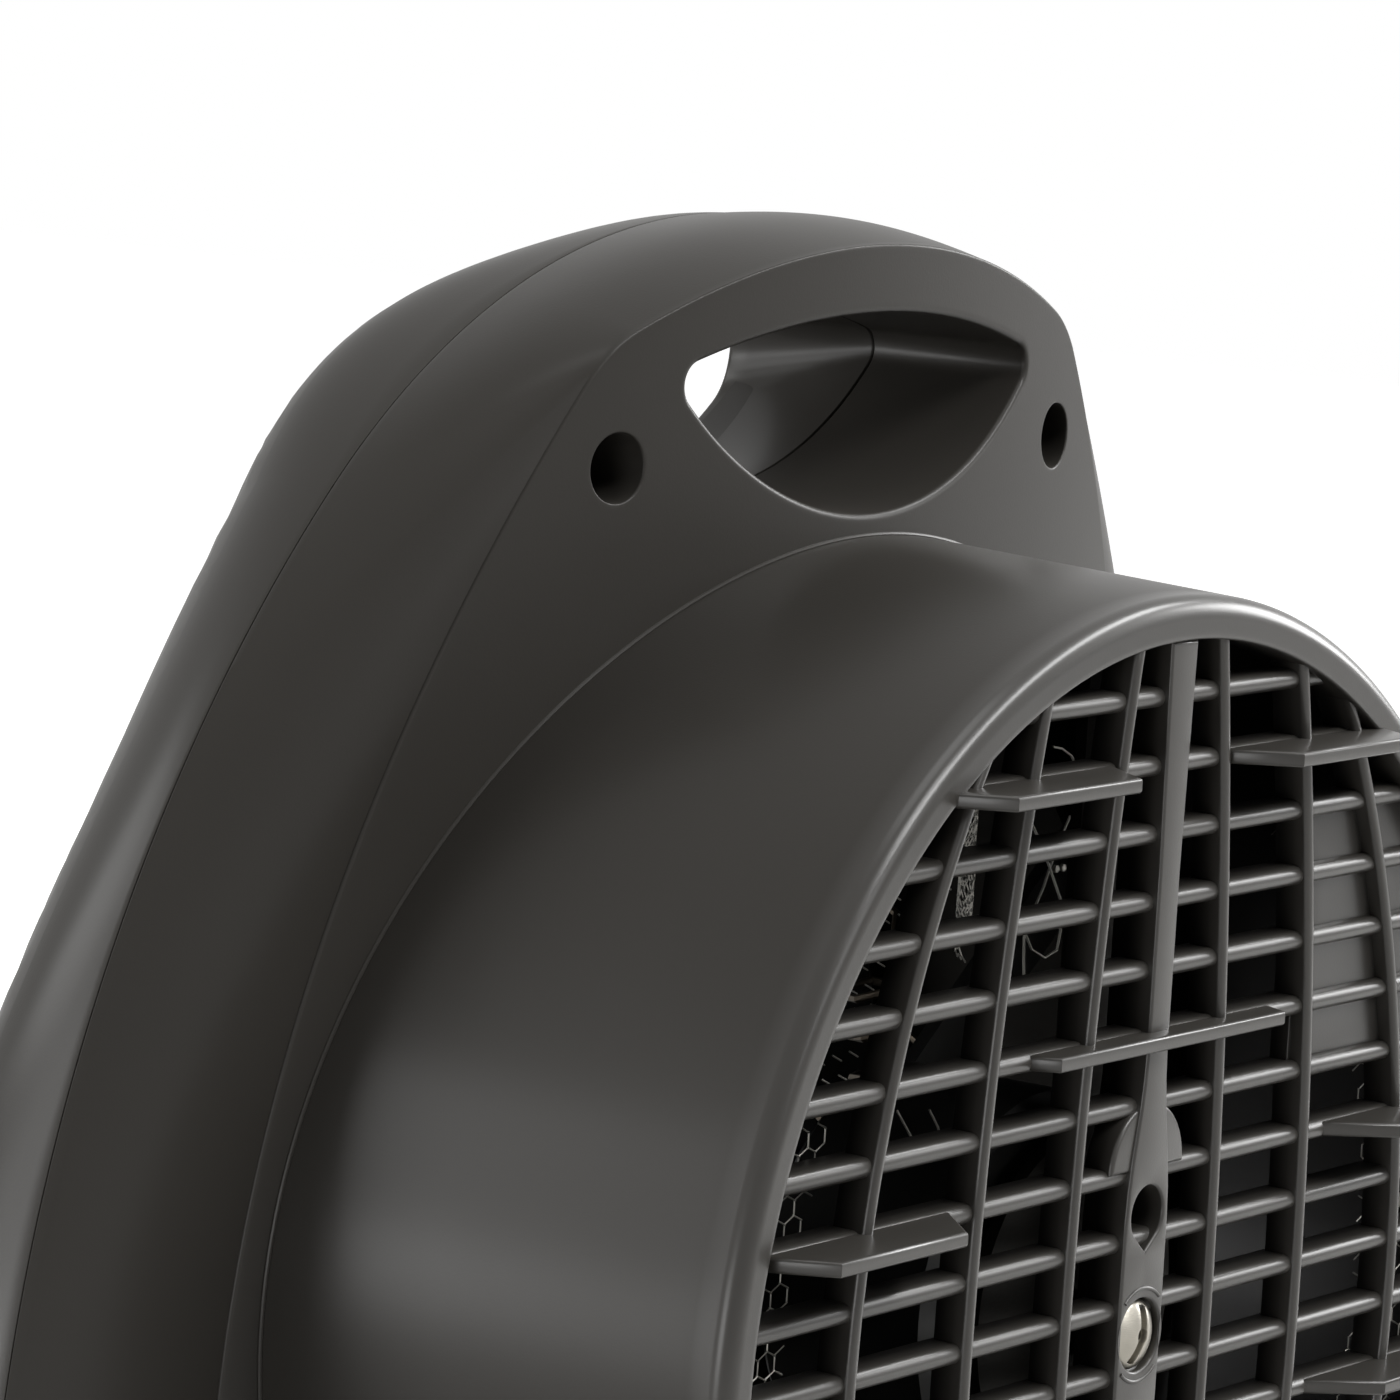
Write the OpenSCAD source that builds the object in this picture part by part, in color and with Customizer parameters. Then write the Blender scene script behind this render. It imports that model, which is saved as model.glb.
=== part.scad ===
// Upright fan heater with a round rear drum, a see-through carrying handle and a flat base.
// Millimetres, +Z up, front towards -Y, origin on the floor under the middle of the outer box.

/* [Casing] */
// Height of the drum's axis above the floor
drum_z = 153; // [148:0.5:158]
// Rise of the casing's top above the drum's axis
casing_rise = 130.8; // [128:0.2:136]
// Radius of the casing's top arc, seen from behind
top_r = 106; // [102:1:110]
// Radius of the casing's side arcs
side_r = 185; // [178:1:192]
// Spread of the side arcs below the widest place, in degrees
low_spread = 14.4; // [10:0.2:18]
// Thickness of the casing's walls
wall = 2.4; // [1.8:0.1:3]
// Place of the seam between the two shells, along Y
seam_y = -23; // [-26:0.5:-20]
// Gap that shows as the seam line
seam_gap = 0.3; // [0.1:0.05:0.6]
// Radius of the front shell's rounded edge
edge_round = 22.6; // [20:0.2:25]
// Fullness of the front edge at the two shoulders, beside a quarter circle
shoulder_full = 2.2; // [0:0.1:2.5]
// Fullness of the front edge down the sides, beside a quarter circle
side_full = 1.7; // [0:0.1:2]

/* [Back plate] */
// Place of the back plate's middle, along Y
plate_y = 3.9; // [2:0.1:6]
// Radius to which the back plate is curved from side to side
plate_r = 263; // [230:1:400]
// Drop from the casing's top to the plate's top edge
plate_drop = 1.7; // [1.5:0.1:4]
// Radius of the plate's top arc
plate_top_r = 114; // [110:1:118]
// Radius of the plate's shoulder
plate_shoulder_r = 19; // [17:0.5:22]
// Radius of the plate's side arcs
plate_side_r = 227; // [222:1:232]
// Height of the swelling of the top between plate and seam
top_swell = 1.3; // [0:0.1:3]

/* [Handle] */
// Height of the opening's top above the drum's axis
opening_top = 120.4; // [119:0.1:122]
// Height of the opening's bottom above the drum's axis
opening_bottom = 95.1; // [94.9:0.1:98]
// Radius of the opening's upper arc
opening_top_r = 123.7; // [110:1:140]
// Radius of the opening's lower arc
opening_bottom_r = 52.5; // [50:0.5:60]
// Radius that rounds the opening's two tips
opening_tip_r = 3; // [2:0.5:5]
// Thickness of the tunnel's wall
tunnel_wall = 2; // [1.5:0.1:2]

/* [Drum and rear grille] */
// Radius of the drum where it meets the back plate
drum_r = 92.2; // [91:0.1:92.4]
// Radius of the drum at its rim
rim_r = 90; // [89:0.1:90.8]
// Radius of the rim's inner edge
rim_in_r = 84.6; // [82:0.1:85.5]
// Rounding of the rim's outer edge
rim_round = 2.4; // [1:0.1:3.5]
// Place of the rim's face, along Y
rim_y = 51.9; // [48:0.1:54]
// Thickness of the drum's wall
drum_wall = 2.2; // [1.6:0.1:2.8]
// Running clearance round the drum in the back plate
drum_gap = 0.1; // [0.05:0.05:0.4]
// Distance between the horizontal bars
bar_pitch = 8.5; // [8:0.1:9.5]
// Number of horizontal bars
bar_count = 19; // [17:2:19]
// Height of a bar
bar_h = 2.6; // [2.4:0.1:3.6]
// Depth of a bar
bar_d = 4.6; // [4:0.1:5.4]
// Depth of the bars' crowns behind the rim's face
bar_sink = 1.4; // [1.2:0.1:2.6]
// Height of the middle bar above the drum's axis
bar_lift = 1; // [-1:0.1:1.2]
// Thickness of the curved upright ribs
rib_t = 1.5; // [1:0.1:1.8]
// Depth of the ribs' edges behind the rim's face
rib_sink = 0.6; // [0.2:0.1:1]
// Reach of the stand-off fins behind the bars' crowns
fin_reach = 7.5; // [5:0.5:10]
// Reach of the two middle fins
mid_fin_reach = 3.2; // [2:0.2:5]
// Thickness of a fin
fin_t = 1.8; // [1.6:0.1:2.6]
// Radius of the half disc on the centre bar
boss_r = 8.6; // [7:0.1:10]
// Radius of the hole in the centre bar
eyelet_r = 4.1; // [3:0.1:4.2]

/* [Front] */
// Radius of the hot-air outlet
outlet_r = 78; // [74:0.5:80]
// Width of the ring round the outlet
bezel_w = 9; // [7:0.5:10]
// Height of that ring in front of the casing
bezel_h = 4.4; // [3:0.2:6]
// Distance between the hexagonal holes of the front guard
mesh_pitch = 9.2; // [8.8:0.1:10.5]
// Width of the guard's webs
mesh_web = 1.1; // [0.8:0.1:1.6]
// Thickness of the front guard
mesh_t = 1.2; // [0.8:0.1:1.6]

/* [Controls] */
// Height of the knobs above the floor
knob_z = 44; // [42:0.5:45]
// Distance of each knob from the middle
knob_x = 48; // [44:0.5:60]
// Radius of a knob
knob_r = 16; // [13:0.5:17]
// Height of a knob in front of the casing
knob_h = 15.5; // [12:0.5:15.5]
// Radius of the knobs' shafts
knob_shaft_r = 3; // [2.5:0.1:3.5]
// Radius of the indicator lens
lamp_r = 4; // [3:0.5:5]

/* [Fan and motor] */
// Radius of the fan over its blades
fan_r = 76; // [70:0.5:79]
// Number of fan blades
blade_count = 5; // [4:1:6]
// Pitch of the blades in degrees
blade_pitch = 24; // [18:1:28]
// Thickness of a blade
blade_t = 1.6; // [1.2:0.1:2]
// Radius of the fan's hub
hub_r = 13; // [11:0.5:15]
// Radius of the motor's can
motor_r = 26; // [24:0.5:30]
// Length of the motor's can
motor_l = 26; // [22:0.5:28]
// Radius of the motor's shaft
shaft_r = 2; // [1.8:0.1:2.5]
// Running clearance of shafts in their bushes
run_gap = 0.05; // [0.02:0.01:0.08]

/* [Heater] */
// Thickness of the heater's sheet-metal duct
duct_t = 1.2; // [0.8:0.1:1.4]
// Thickness of the insulating boards
board_t = 1; // [0.8:0.1:1.4]
// Radius of the outer heating coil's ring
outer_ring_r = 60; // [57:0.5:63]
// Radius of the inner heating coil's ring
inner_ring_r = 36; // [33:0.5:39]
// Radius of one curl
curl_r = 5; // [4:0.1:5.5]
// Thickness of the heating wire
coil_wire = 1.2; // [0.8:0.1:1.4]

/* [Base] */
// Width of the base
base_w = 250; // [240:1:258]
// Depth of the base
base_d = 124; // [124:1:130]
// Radius of the base's corners
base_corner_r = 40; // [30:1:50]
// Height of the base's top above the floor
base_top = 22; // [20:0.5:23]
// Height of the rubber feet
foot_h = 6; // [4:0.5:8]
// Radius of the rubber feet
foot_r = 9; // [7:0.5:12]
// Travel of the tip-over plunger
tip_travel = 4; // [3:0.5:5]

/* [Fasteners] */
// Radius of the screws that join the casing
screw_r = 1.75; // [1.5:0.05:2]
// Radius of their heads
screw_head_r = 3.5; // [3:0.1:3.9]
// Radius of the recesses in the back plate
recess_r = 4.3; // [4:0.1:4.8]
// Distance of the upper recesses from the middle
recess_x = 48.6; // [48:0.2:52]
// Height of the upper recesses above the drum's axis
recess_rise = 102.5; // [98:0.5:104]
// Distance of the lower recesses from the middle
low_recess_x = 70; // [66:0.5:74]
// Drop of the lower recesses below the drum's axis
low_recess_drop = 83; // [80:0.5:88]

/* [Hidden] */
$fn = 64;
fit = 0.2;
small_fit = 0.1;
press_gap = 0.02;

casing_top = drum_z + casing_rise;
plate_top = casing_top - plate_drop;
seam_arcs = [[top_r, 45], [side_r, 90]];
plate_arcs = [[plate_top_r, 24], [plate_shoulder_r, 53.5], [plate_side_r, 90]];
angle_step = 5;
low_steps = 4;
angles = concat([for (a = [0:angle_step:90]) a], [for (k = [1:low_steps]) 90 + low_spread * k / low_steps]);
front_seam_y = seam_y - seam_gap / 2;
rear_seam_y = seam_y + seam_gap / 2;
front_rim_y = front_seam_y - edge_round;
front_in_y = front_rim_y + wall;

// Sideways and downward run of a chain of arcs, up to tangent angle a
function run_x(arcs, a, i = 0, s = 0) = (i >= len(arcs) || a <= s) ? 0
  : arcs[i][0] * (sin(min(a, arcs[i][1])) - sin(s)) + run_x(arcs, a, i + 1, arcs[i][1]);
function run_z(arcs, a, i = 0, s = 0) = (i >= len(arcs) || a <= s) ? 0
  : arcs[i][0] * (cos(s) - cos(min(a, arcs[i][1]))) + run_z(arcs, a, i + 1, arcs[i][1]);
function low_r(arcs, top) = (top - base_top - run_z(arcs, 90)) / sin(low_spread);
// Point of an outline at tangent angle a, moved inwards by d; the last arc ends level with the base
function outline(arcs, top, a, d = 0) = let(r = low_r(arcs, top))
  a <= 90 ? [run_x(arcs, a) - d * sin(a), top - run_z(arcs, a) - d * cos(a)]
  : [run_x(arcs, 90) - r * (1 - sin(a)) - d * sin(a), top - run_z(arcs, 90) + r * cos(a)];
function seam_point(a, d = 0) = outline(seam_arcs, casing_top, a, d);
function plate_point(a, d = 0) = outline(plate_arcs, plate_top, a, d);
function plate_at(x) = plate_y - plate_r + sqrt(plate_r * plate_r - x * x);

// Tangent angles at which the rear shell's side leaves the back plate and meets the seam
side_start = 45;
side_end = 78;
side_rings = 6;
// Tangent angle at the middle of a shoulder, and how far it spreads
shoulder_at = 31;
shoulder_spread = 13;
// Tangent angle where the fuller sides begin, and over how much they grow
side_from = 54.5;
side_spread = 20;
function side_angle(t) = side_start + (side_end - side_start) * t;
function side_share(t) = (sin(side_angle(t)) - sin(side_start)) / (sin(side_end) - sin(side_start));
function depth_share(t) = (cos(side_start) - cos(side_angle(t))) / (cos(side_start) - cos(side_end));
// Point of the rear shell's side: t runs from the back plate to the seam, d moves it inwards
function rear_point(a, t, d) = let(p = plate_point(a, d), s = seam_point(a, d),
    u = side_share(t), w = depth_share(t), y0 = plate_at(p[0]) - d, b = top_swell * sin(180 * w) * max(0, cos(a * 1.3)))
  [p[0] + (s[0] - p[0]) * u + b * sin(a), y0 + (rear_seam_y - y0) * w, p[1] + (s[1] - p[1]) * u + b * cos(a)];
// Power of the rounded edge's section: 1 is a quarter circle and less is fuller, as at the shoulders
// and down the sides
function edge_power(a) = 2 / (2 + shoulder_full * exp(-pow((a - shoulder_at) / shoulder_spread, 2))
  + side_full * pow(min(1, max(0, (a - side_from) / side_spread)), 2));
// Point of the front shell's rounded edge: t runs from the seam to the front face
function front_point(a, t, d) = let(r = edge_round - d, p = edge_power(a),
    q = seam_point(a, d + r * (1 - pow(cos(90 * t), p))))
  [q[0], front_seam_y - r * pow(sin(90 * t), p), q[1]];

// Closed loop of points from a half outline: down the right side and up the left
function loop_of(half) = concat(half, [for (i = [len(half) - 1:-1:1]) [-half[i][0], half[i][1], half[i][2]]]);
function ring_faces(n, m) = [for (k = [0:m - 2]) for (i = [0:n - 1]) for (f = [0, 1])
  f == 0 ? [k * n + i, k * n + (i + 1) % n, (k + 1) * n + i]
  : [k * n + (i + 1) % n, (k + 1) * n + (i + 1) % n, (k + 1) * n + i]];
function flip(faces) = [for (f = faces) [f[2], f[1], f[0]]];
// Flat end of a stack of loops that starts at point b, as strips between left and right
function end_faces(b, n) = concat([[b, b + 1, b + n - 1]], [for (i = [1:(n - 1) / 2 - 1]) for (f = [0, 1])
  f == 0 ? [b + i, b + i + 1, b + n - i] : [b + n - i, b + i + 1, b + n - i - 1]]);
function seam_ring(d, y) = loop_of([for (a = angles) let(s = seam_point(a, d)) [s[0], y, s[1]]]);

// Solid with the rear shell's outer shape moved inwards by d, running past the seam by extra
module rear_solid(d, extra) {
  half_n = len(angles);
  n = 2 * half_n - 1;
  cols = 10;
  rings = concat([for (k = [0:side_rings]) loop_of([for (a = angles) rear_point(a, k / side_rings, d)])],
    extra > 0 ? [seam_ring(d, rear_seam_y - extra)] : []);
  m = len(rings);
  grid = [for (a = [for (i = [1:half_n - 1]) angles[i]]) for (j = [1:cols - 1])
    let(p = plate_point(a, d), x = p[0] * (1 - 2 * j / cols)) [x, plate_at(x) - d, p[1]]];
  // Index of grid point (row i, column j), with the ring's own points at both ends
  function at(i, j) = i == 0 ? 0 : j == 0 ? i : j == cols ? n - i : n * m + (i - 1) * (cols - 1) + j - 1;
  plate = [for (i = [0:half_n - 2]) for (j = [0:cols - 1]) for (f = [0, 1])
    let(t = f == 0 ? [at(i, j), at(i + 1, j), at(i + 1, j + 1)] : [at(i, j), at(i + 1, j + 1), at(i, j + 1)])
    if (t[0] != t[1] && t[1] != t[2] && t[0] != t[2]) t];
  foot = [for (j = [1:cols - 1]) [at(half_n - 1, 0), at(half_n - 1, j), at(half_n - 1, j + 1)]];
  polyhedron(points = concat([for (r = rings) each r], grid),
    faces = concat(ring_faces(n, m), flip(plate), foot, end_faces((m - 1) * n, n)));
}

// Solid with the front shell's outer shape moved inwards by d, running past the seam by extra
module front_solid(d, extra) {
  n = 2 * len(angles) - 1;
  steps = 8;
  rings = concat(extra > 0 ? [seam_ring(d, front_seam_y + extra)] : [],
    [for (k = [0:steps]) loop_of([for (a = angles) front_point(a, k / steps, d)])]);
  m = len(rings);
  polyhedron(points = [for (r = rings) each r],
    faces = concat(ring_faces(n, m), flip(end_faces(0, n)), end_faces((m - 1) * n, n)));
}

// Places children, drawn in X and Z, between two Y planes
module upright(y0, y1) { translate([0, y1, 0]) rotate([90, 0, 0]) linear_extrude(y1 - y0) children(); }
// Cylinder and revolved profile along Y; the profile is drawn as [radius, y]
module rod(x, z, r, y0, y1) { translate([x, y0, z]) rotate([-90, 0, 0]) cylinder(h = y1 - y0, r = r); }
module turned(x, z, points) { translate([x, 0, z]) rotate([-90, 0, 0]) rotate_extrude() polygon(points); }
module pole(x, y, r, z0, z1) { translate([x, y, z0]) cylinder(h = z1 - z0, r = r); }
module both_sides() { children(); mirror([1, 0, 0]) children(); }

// Lens outline of the handle opening, grown by d
module opening(d) {
  top_c = drum_z + opening_top - opening_top_r;
  bottom_c = drum_z + opening_bottom + opening_bottom_r;
  gap = bottom_c - top_c;
  // Half width at which the two arcs, drawn in by the tip radius, cross
  r1 = opening_top_r - opening_tip_r;
  r2 = opening_bottom_r - opening_tip_r;
  tip_z = top_c + (gap * gap + r1 * r1 - r2 * r2) / (2 * gap);
  tip_x = sqrt(r1 * r1 - (tip_z - top_c) * (tip_z - top_c));
  a1 = atan2(tip_x, tip_z - top_c);
  a2 = atan2(tip_x, bottom_c - tip_z);
  steps = 10;
  tip_steps = 5;
  r = opening_tip_r + d;
  right = concat(
    [for (k = [0:steps]) let(a = a1 * k / steps) [(opening_top_r + d) * sin(a), top_c + (opening_top_r + d) * cos(a)]],
    [for (k = [1:tip_steps - 1]) let(a = a1 + (180 - a1 - a2) * k / tip_steps) [tip_x + r * sin(a), tip_z + r * cos(a)]],
    [for (k = [steps:-1:0]) let(a = a2 * k / steps) [(opening_bottom_r + d) * sin(a), bottom_c - (opening_bottom_r + d) * cos(a)]]);
  polygon(concat(right, [for (i = [len(right) - 2:-1:1]) [-right[i][0], right[i][1]]]));
}

recess_floor = seam_y + 5;
recess_wall = 1.9;
pillar_r = 4.4;
function recesses() = [[recess_x, drum_z + recess_rise], [-recess_x, drum_z + recess_rise],
  [low_recess_x, drum_z - low_recess_drop], [-low_recess_x, drum_z - low_recess_drop]];
foot_boss_r = 4.2;
foot_boss_h = 12;
rear_boss = [54, seam_y + 10];
front_boss = [84, seam_y - 10];
gland_z = 40;
passage_y = -8;
passage_r = 5;
gland_r = 5.6;
drum_front_y = seam_y + 3;

module rear_shell() {
  color("#4b4a47") difference() {
    rear_solid(0, 0);
    difference() {
      rear_solid(wall, 1);
      translate([-base_w / 2, seam_y - 2, 0]) cube([base_w, 60, base_top + wall]);
      upright(seam_y - 2, plate_y) opening(tunnel_wall);
      for (p = recesses()) rod(p[0], p[1], recess_r + recess_wall, seam_y - 2, plate_y);
      both_sides() pole(rear_boss[0], rear_boss[1], foot_boss_r, base_top, base_top + foot_boss_h);
    }
    upright(seam_y - 2, plate_y + 1) opening(0);
    for (p = recesses()) {
      rod(p[0], p[1], recess_r, recess_floor, plate_y + 1);
      rod(p[0], p[1], screw_r + small_fit, seam_y - 2, recess_floor + 1);
    }
    rod(0, drum_z, drum_r + drum_gap, seam_y - 2, plate_y + 2);
    rod(0, gland_z, gland_r + small_fit, -10, plate_y + 1);
    pole(0, passage_y, passage_r, base_top - 1, base_top + wall + 1);
    both_sides() pole(rear_boss[0], rear_boss[1], screw_r + small_fit / 2, base_top - 1, base_top + foot_boss_h - 2);
  }
}

collar_t = 2.2;
duct_out_r = outlet_r + duct_t;
collar_r = duct_out_r + fit;
collar_y = front_in_y + 12;
clip_y = front_in_y + mesh_t + 0.1;

module front_shell() {
  color("#504f4c") difference() {
    front_solid(0, 0);
    difference() {
      front_solid(wall, 1);
      translate([-base_w / 2, seam_y - 60, 0]) cube([base_w, 62, base_top + wall]);
      upright(front_rim_y, seam_y + 2) opening(tunnel_wall);
      for (p = recesses()) rod(p[0], p[1], pillar_r, front_rim_y, seam_y + 2);
      both_sides() pole(front_boss[0], front_boss[1], foot_boss_r, base_top, base_top + foot_boss_h);
      rod(0, drum_z, collar_r + collar_t, front_rim_y, collar_y);
    }
    upright(front_rim_y - 1, seam_y + 2) opening(0);
    for (p = recesses()) rod(p[0], p[1], screw_r - small_fit, front_rim_y + 6, seam_y + 2);
    rod(0, drum_z, outlet_r, front_rim_y - 1, seam_y + 2);
    rod(0, drum_z, collar_r, front_in_y, seam_y + 2);
    both_sides() pole(front_boss[0], front_boss[1], screw_r + small_fit / 2, base_top - 1, base_top + foot_boss_h - 2);
    both_sides() rod(knob_x, knob_z, bush_r + small_fit, front_rim_y - 1, front_in_y + 1);
    rod(0, knob_z, lamp_r - 0.8 + small_fit, front_rim_y - 1, front_in_y + 1);
  }
}

crown_y = rim_y - bar_sink;
bar_y = crown_y - bar_d;
rib_y = rim_y - rib_sink;
inner_drum_r = rim_r - drum_wall;
screw_z = drum_z - 2.3;
eyelet_z = drum_z + 13;
boss_z = drum_z + 18.6;
bar_mid = drum_z + bar_lift;
lug_r = 4.5;
lug_z = 74;
bracket_y = 40;
bracket_t = 1.6;

// Half width and bend radius of each curved rib at the height of its middle
ribs = [[16.6, 560], [38.4, 394], [63, 151]];
rib_mid = drum_z - 3.2;
module rib_outline(x, r) {
  translate([x - r, rib_mid]) difference() {
    circle(r = r + rib_t / 2, $fn = 128);
    circle(r = r - rib_t / 2, $fn = 128);
  }
}

// Stand-off fin: root and tip ends in X, bar number from the middle, reach
module fin(root0, root1, tip0, tip1, bar, reach) {
  z = bar_mid + bar * bar_pitch;
  translate([0, 0, z - fin_t / 2]) linear_extrude(fin_t)
    polygon([[root0, bar_y], [root0, crown_y - 0.5], [tip0, crown_y + reach],
      [tip1, crown_y + reach], [root1, crown_y - 0.5], [root1, bar_y]]);
}

module grille_bar(k) {
  dz = bar_lift + k * bar_pitch;
  z = drum_z + dz;
  w = sqrt(pow(rim_in_r + 1.4, 2) - dz * dz);
  translate([-w, 0, z]) rotate([90, 0, 90]) linear_extrude(2 * w) {
    translate([crown_y - bar_h / 2, 0]) circle(r = bar_h / 2, $fn = 32);
    translate([bar_y, -bar_h / 2]) square([bar_d - bar_h / 2, bar_h]);
  }
}

module drum_grille() {
  shoulder_y = rim_y - rim_round;
  step_y = bar_y - 1;
  half = (bar_count - 1) / 2;
  bars = [for (k = [-half:half]) if (abs(bar_lift + k * bar_pitch) < rim_in_r - bar_h) k];
  straight_y = plate_y + 2;
  color("#585652") difference() {
    union() {
      turned(0, drum_z, concat([[rim_in_r, rim_y]],
        [for (t = [90:-15:0]) [rim_r - rim_round + rim_round * cos(t), shoulder_y + rim_round * sin(t)]],
        [[drum_r, straight_y], [drum_r, drum_front_y], [drum_r - drum_wall, drum_front_y],
          [drum_r - drum_wall, straight_y], [inner_drum_r, step_y - 3], [rim_in_r, step_y]]), $fn = 128);
      for (k = bars) grille_bar(k);
      upright(bar_y + 0.6, rib_y) intersection() {
        translate([0, drum_z]) circle(r = rim_in_r + 0.5, $fn = 128);
        union() for (r = ribs) both_sides() rib_outline(r[0], r[1]);
      }
      upright(bar_y, rib_y) centre_bar();
      upright(bar_y + 0.4, crown_y - 2.2) label_panel();
      for (s = [-1, 1]) {
        both_sides() fin(rim_in_r * 0.6, 13, 46, 19, s * 8, fin_reach);
        both_sides() fin(rim_in_r * 0.965, 43, 77, 51, s * 2, fin_reach);
        fin(28, -28, 26, -26, s * 4, mid_fin_reach);
        rod(0, drum_z + s * lug_z, lug_r, bracket_y + bracket_t, bar_y + 1);
      }
    }
    rod(0, eyelet_z, eyelet_r, bar_y - 1, rib_y + 1);
    translate([0, bar_y + 3, eyelet_z - eyelet_r]) rotate([0, 45, 0]) cube([2, 14, 2], center = true);
    rod(0, screw_z, grille_screw_r + small_fit, bracket_y, rib_y + 1);
    rod(0, screw_z, grille_head_r + fit, rib_y - 1.6, rib_y + 1);
    for (s = [-1, 1]) rod(0, drum_z + s * lug_z, 1.2, bracket_y, bar_y - 0.5);
  }
}

// Tapering centre bar with its half disc and the seat of the middle screw
module centre_bar() {
  half = [[84.5, 3], [56, 2.3], [30, 2.3], [14, 4.3], [0, 4.9], [-14, 4.3], [-30, 2.3], [-56, 2.3], [-84.5, 3]];
  translate([0, drum_z]) polygon(concat([for (p = half) [p[1], p[0]]],
    [for (i = [len(half) - 1:-1:0]) [-half[i][1], half[i][0]]]));
  intersection() {
    translate([0, boss_z]) circle(r = boss_r);
    translate([-boss_r, boss_z]) square([2 * boss_r, boss_r]);
  }
  translate([0, screw_z]) circle(r = grille_head_r + 1);
  translate([0, eyelet_z]) circle(r = eyelet_r + 0.9);
}

// Flat panel moulded between two bars on one side, beside the second rib
module label_panel() {
  intersection() {
    translate([0, drum_z]) circle(r = rim_in_r + 0.5, $fn = 128);
    translate([-rim_in_r, bar_mid + 3 * bar_pitch]) square([rim_in_r - 35.5, 4 * bar_pitch]);
  }
}

grille_screw_r = 2;
grille_head_r = 4.4;
// Middle screw with a slot and a round hole in its head
module grille_screw() {
  head_y = rib_y - 1.5;
  color("#c9c6bf") difference() {
    turned(0, screw_z, [[0, bracket_y - 2], [grille_screw_r, bracket_y - 2], [grille_screw_r, head_y],
      [grille_head_r, head_y], [grille_head_r, head_y + 0.8], [grille_head_r - 1.2, head_y + 1.8], [0, head_y + 2.2]]);
    translate([-0.6, head_y + 1.2, screw_z - grille_head_r]) cube([1.2, 2, 2 * grille_head_r]);
    rod(0, screw_z, 1.1, head_y + 0.4, head_y + 3);
  }
}

// Strip that carries the motor, behind the centre bar
module motor_bracket() {
  color("#6f6e6a") difference() {
    union() {
      translate([-6, bracket_y, drum_z - lug_z - 6]) cube([12, bracket_t, 2 * lug_z + 12]);
      rod(0, drum_z, motor_r - 4, bracket_y, bracket_y + bracket_t);
      rod(0, screw_z, grille_screw_r + 2, bracket_y + bracket_t - 0.01, bar_y);
    }
    rod(0, screw_z, grille_screw_r + small_fit / 2, bracket_y - 1, bar_y + 1);
    for (s = [-1, 1]) rod(0, drum_z + s * lug_z, 1.6, bracket_y - 1, bracket_y + 3);
  }
}

module bracket_screws() {
  color("#8d8d8b") for (s = [-1, 1])
    turned(0, drum_z + s * lug_z, [[0, bracket_y - 2], [2.8, bracket_y - 2], [2.8, bracket_y],
      [1.15, bracket_y], [1.15, bar_y - 1], [0, bar_y - 0.6]]);
}

motor_back_y = bracket_y - 3;
motor_front_y = motor_back_y - motor_l;
bush_l = 5;
motor_bush_r = 4;
shaft_back_y = motor_back_y - 1;
fan_back_y = motor_front_y - 4;
hub_l = 12;
fan_front_y = fan_back_y - hub_l;
nut_l = 5;
shaft_front_y = fan_front_y - nut_l - 1;

module motor_can() {
  color("#3a3a3a") difference() {
    union() {
      turned(0, drum_z, [[0, motor_front_y], [motor_r - 1.5, motor_front_y], [motor_r, motor_front_y + 1.5],
        [motor_r, motor_back_y - 1.5], [motor_r - 1.5, motor_back_y], [0, motor_back_y]]);
      for (s = [-1, 1]) rod(s * (motor_r - 10), drum_z, 2.5, motor_back_y - 0.01, bracket_y);
    }
    rod(0, drum_z, motor_bush_r, motor_front_y - 1, motor_front_y + bush_l);
    rod(0, drum_z, motor_bush_r, motor_back_y - bush_l - 2, motor_back_y - 2);
    rod(0, drum_z, shaft_r + 1, motor_front_y + bush_l - 1, motor_back_y - bush_l - 1);
  }
}

module motor_bushes() {
  color("#a8843f") for (y0 = [motor_front_y, motor_back_y - bush_l - 2]) difference() {
    rod(0, drum_z, motor_bush_r, y0, y0 + bush_l);
    rod(0, drum_z, shaft_r + run_gap, y0 - 1, y0 + bush_l + 1);
  }
}

module motor_shaft() { color("#b9b9b6") rod(0, drum_z, shaft_r, shaft_front_y, motor_back_y - 2.2); }

module fan_blades() {
  mid_y = (fan_back_y + fan_front_y) / 2;
  reach = hub_l / 2 - 0.4;
  color("#2b2b2b") difference() {
    union() {
      turned(0, drum_z, [[0, fan_front_y], [hub_r - 2, fan_front_y], [hub_r, fan_front_y + 2],
        [hub_r, fan_back_y], [0, fan_back_y]]);
      for (k = [0:blade_count - 1]) translate([0, mid_y, drum_z]) rotate([0, 360 / blade_count * k + 20, 0])
        intersection() {
          rotate([-90, 0, 0]) cylinder(h = 2 * reach, r = fan_r, center = true);
          translate([0, 0, hub_r - 2]) rotate([0, 0, blade_pitch]) translate([0, 0, fan_r / 2])
            cube([blade_w, blade_t, fan_r], center = true);
        }
    }
    rod(0, drum_z, shaft_r + press_gap, fan_front_y - 1, fan_back_y + 1);
  }
}
blade_w = (hub_l - 3) / sin(blade_pitch);

module fan_nut() {
  color("#8d8d8b") difference() {
    turned(0, drum_z, [[0, fan_front_y - nut_l], [5, fan_front_y - nut_l], [6, fan_front_y - nut_l + 1],
      [6, fan_front_y], [0, fan_front_y]]);
    rod(0, drum_z, shaft_r + press_gap, fan_front_y - nut_l - 1, fan_front_y + 1);
  }
}

duct_back_y = fan_front_y + 2;
coil_y = (clip_y + fan_front_y - nut_l - 3) / 2;
board_y0 = clip_y + 2;
board_y1 = fan_front_y - nut_l - 3;

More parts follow.
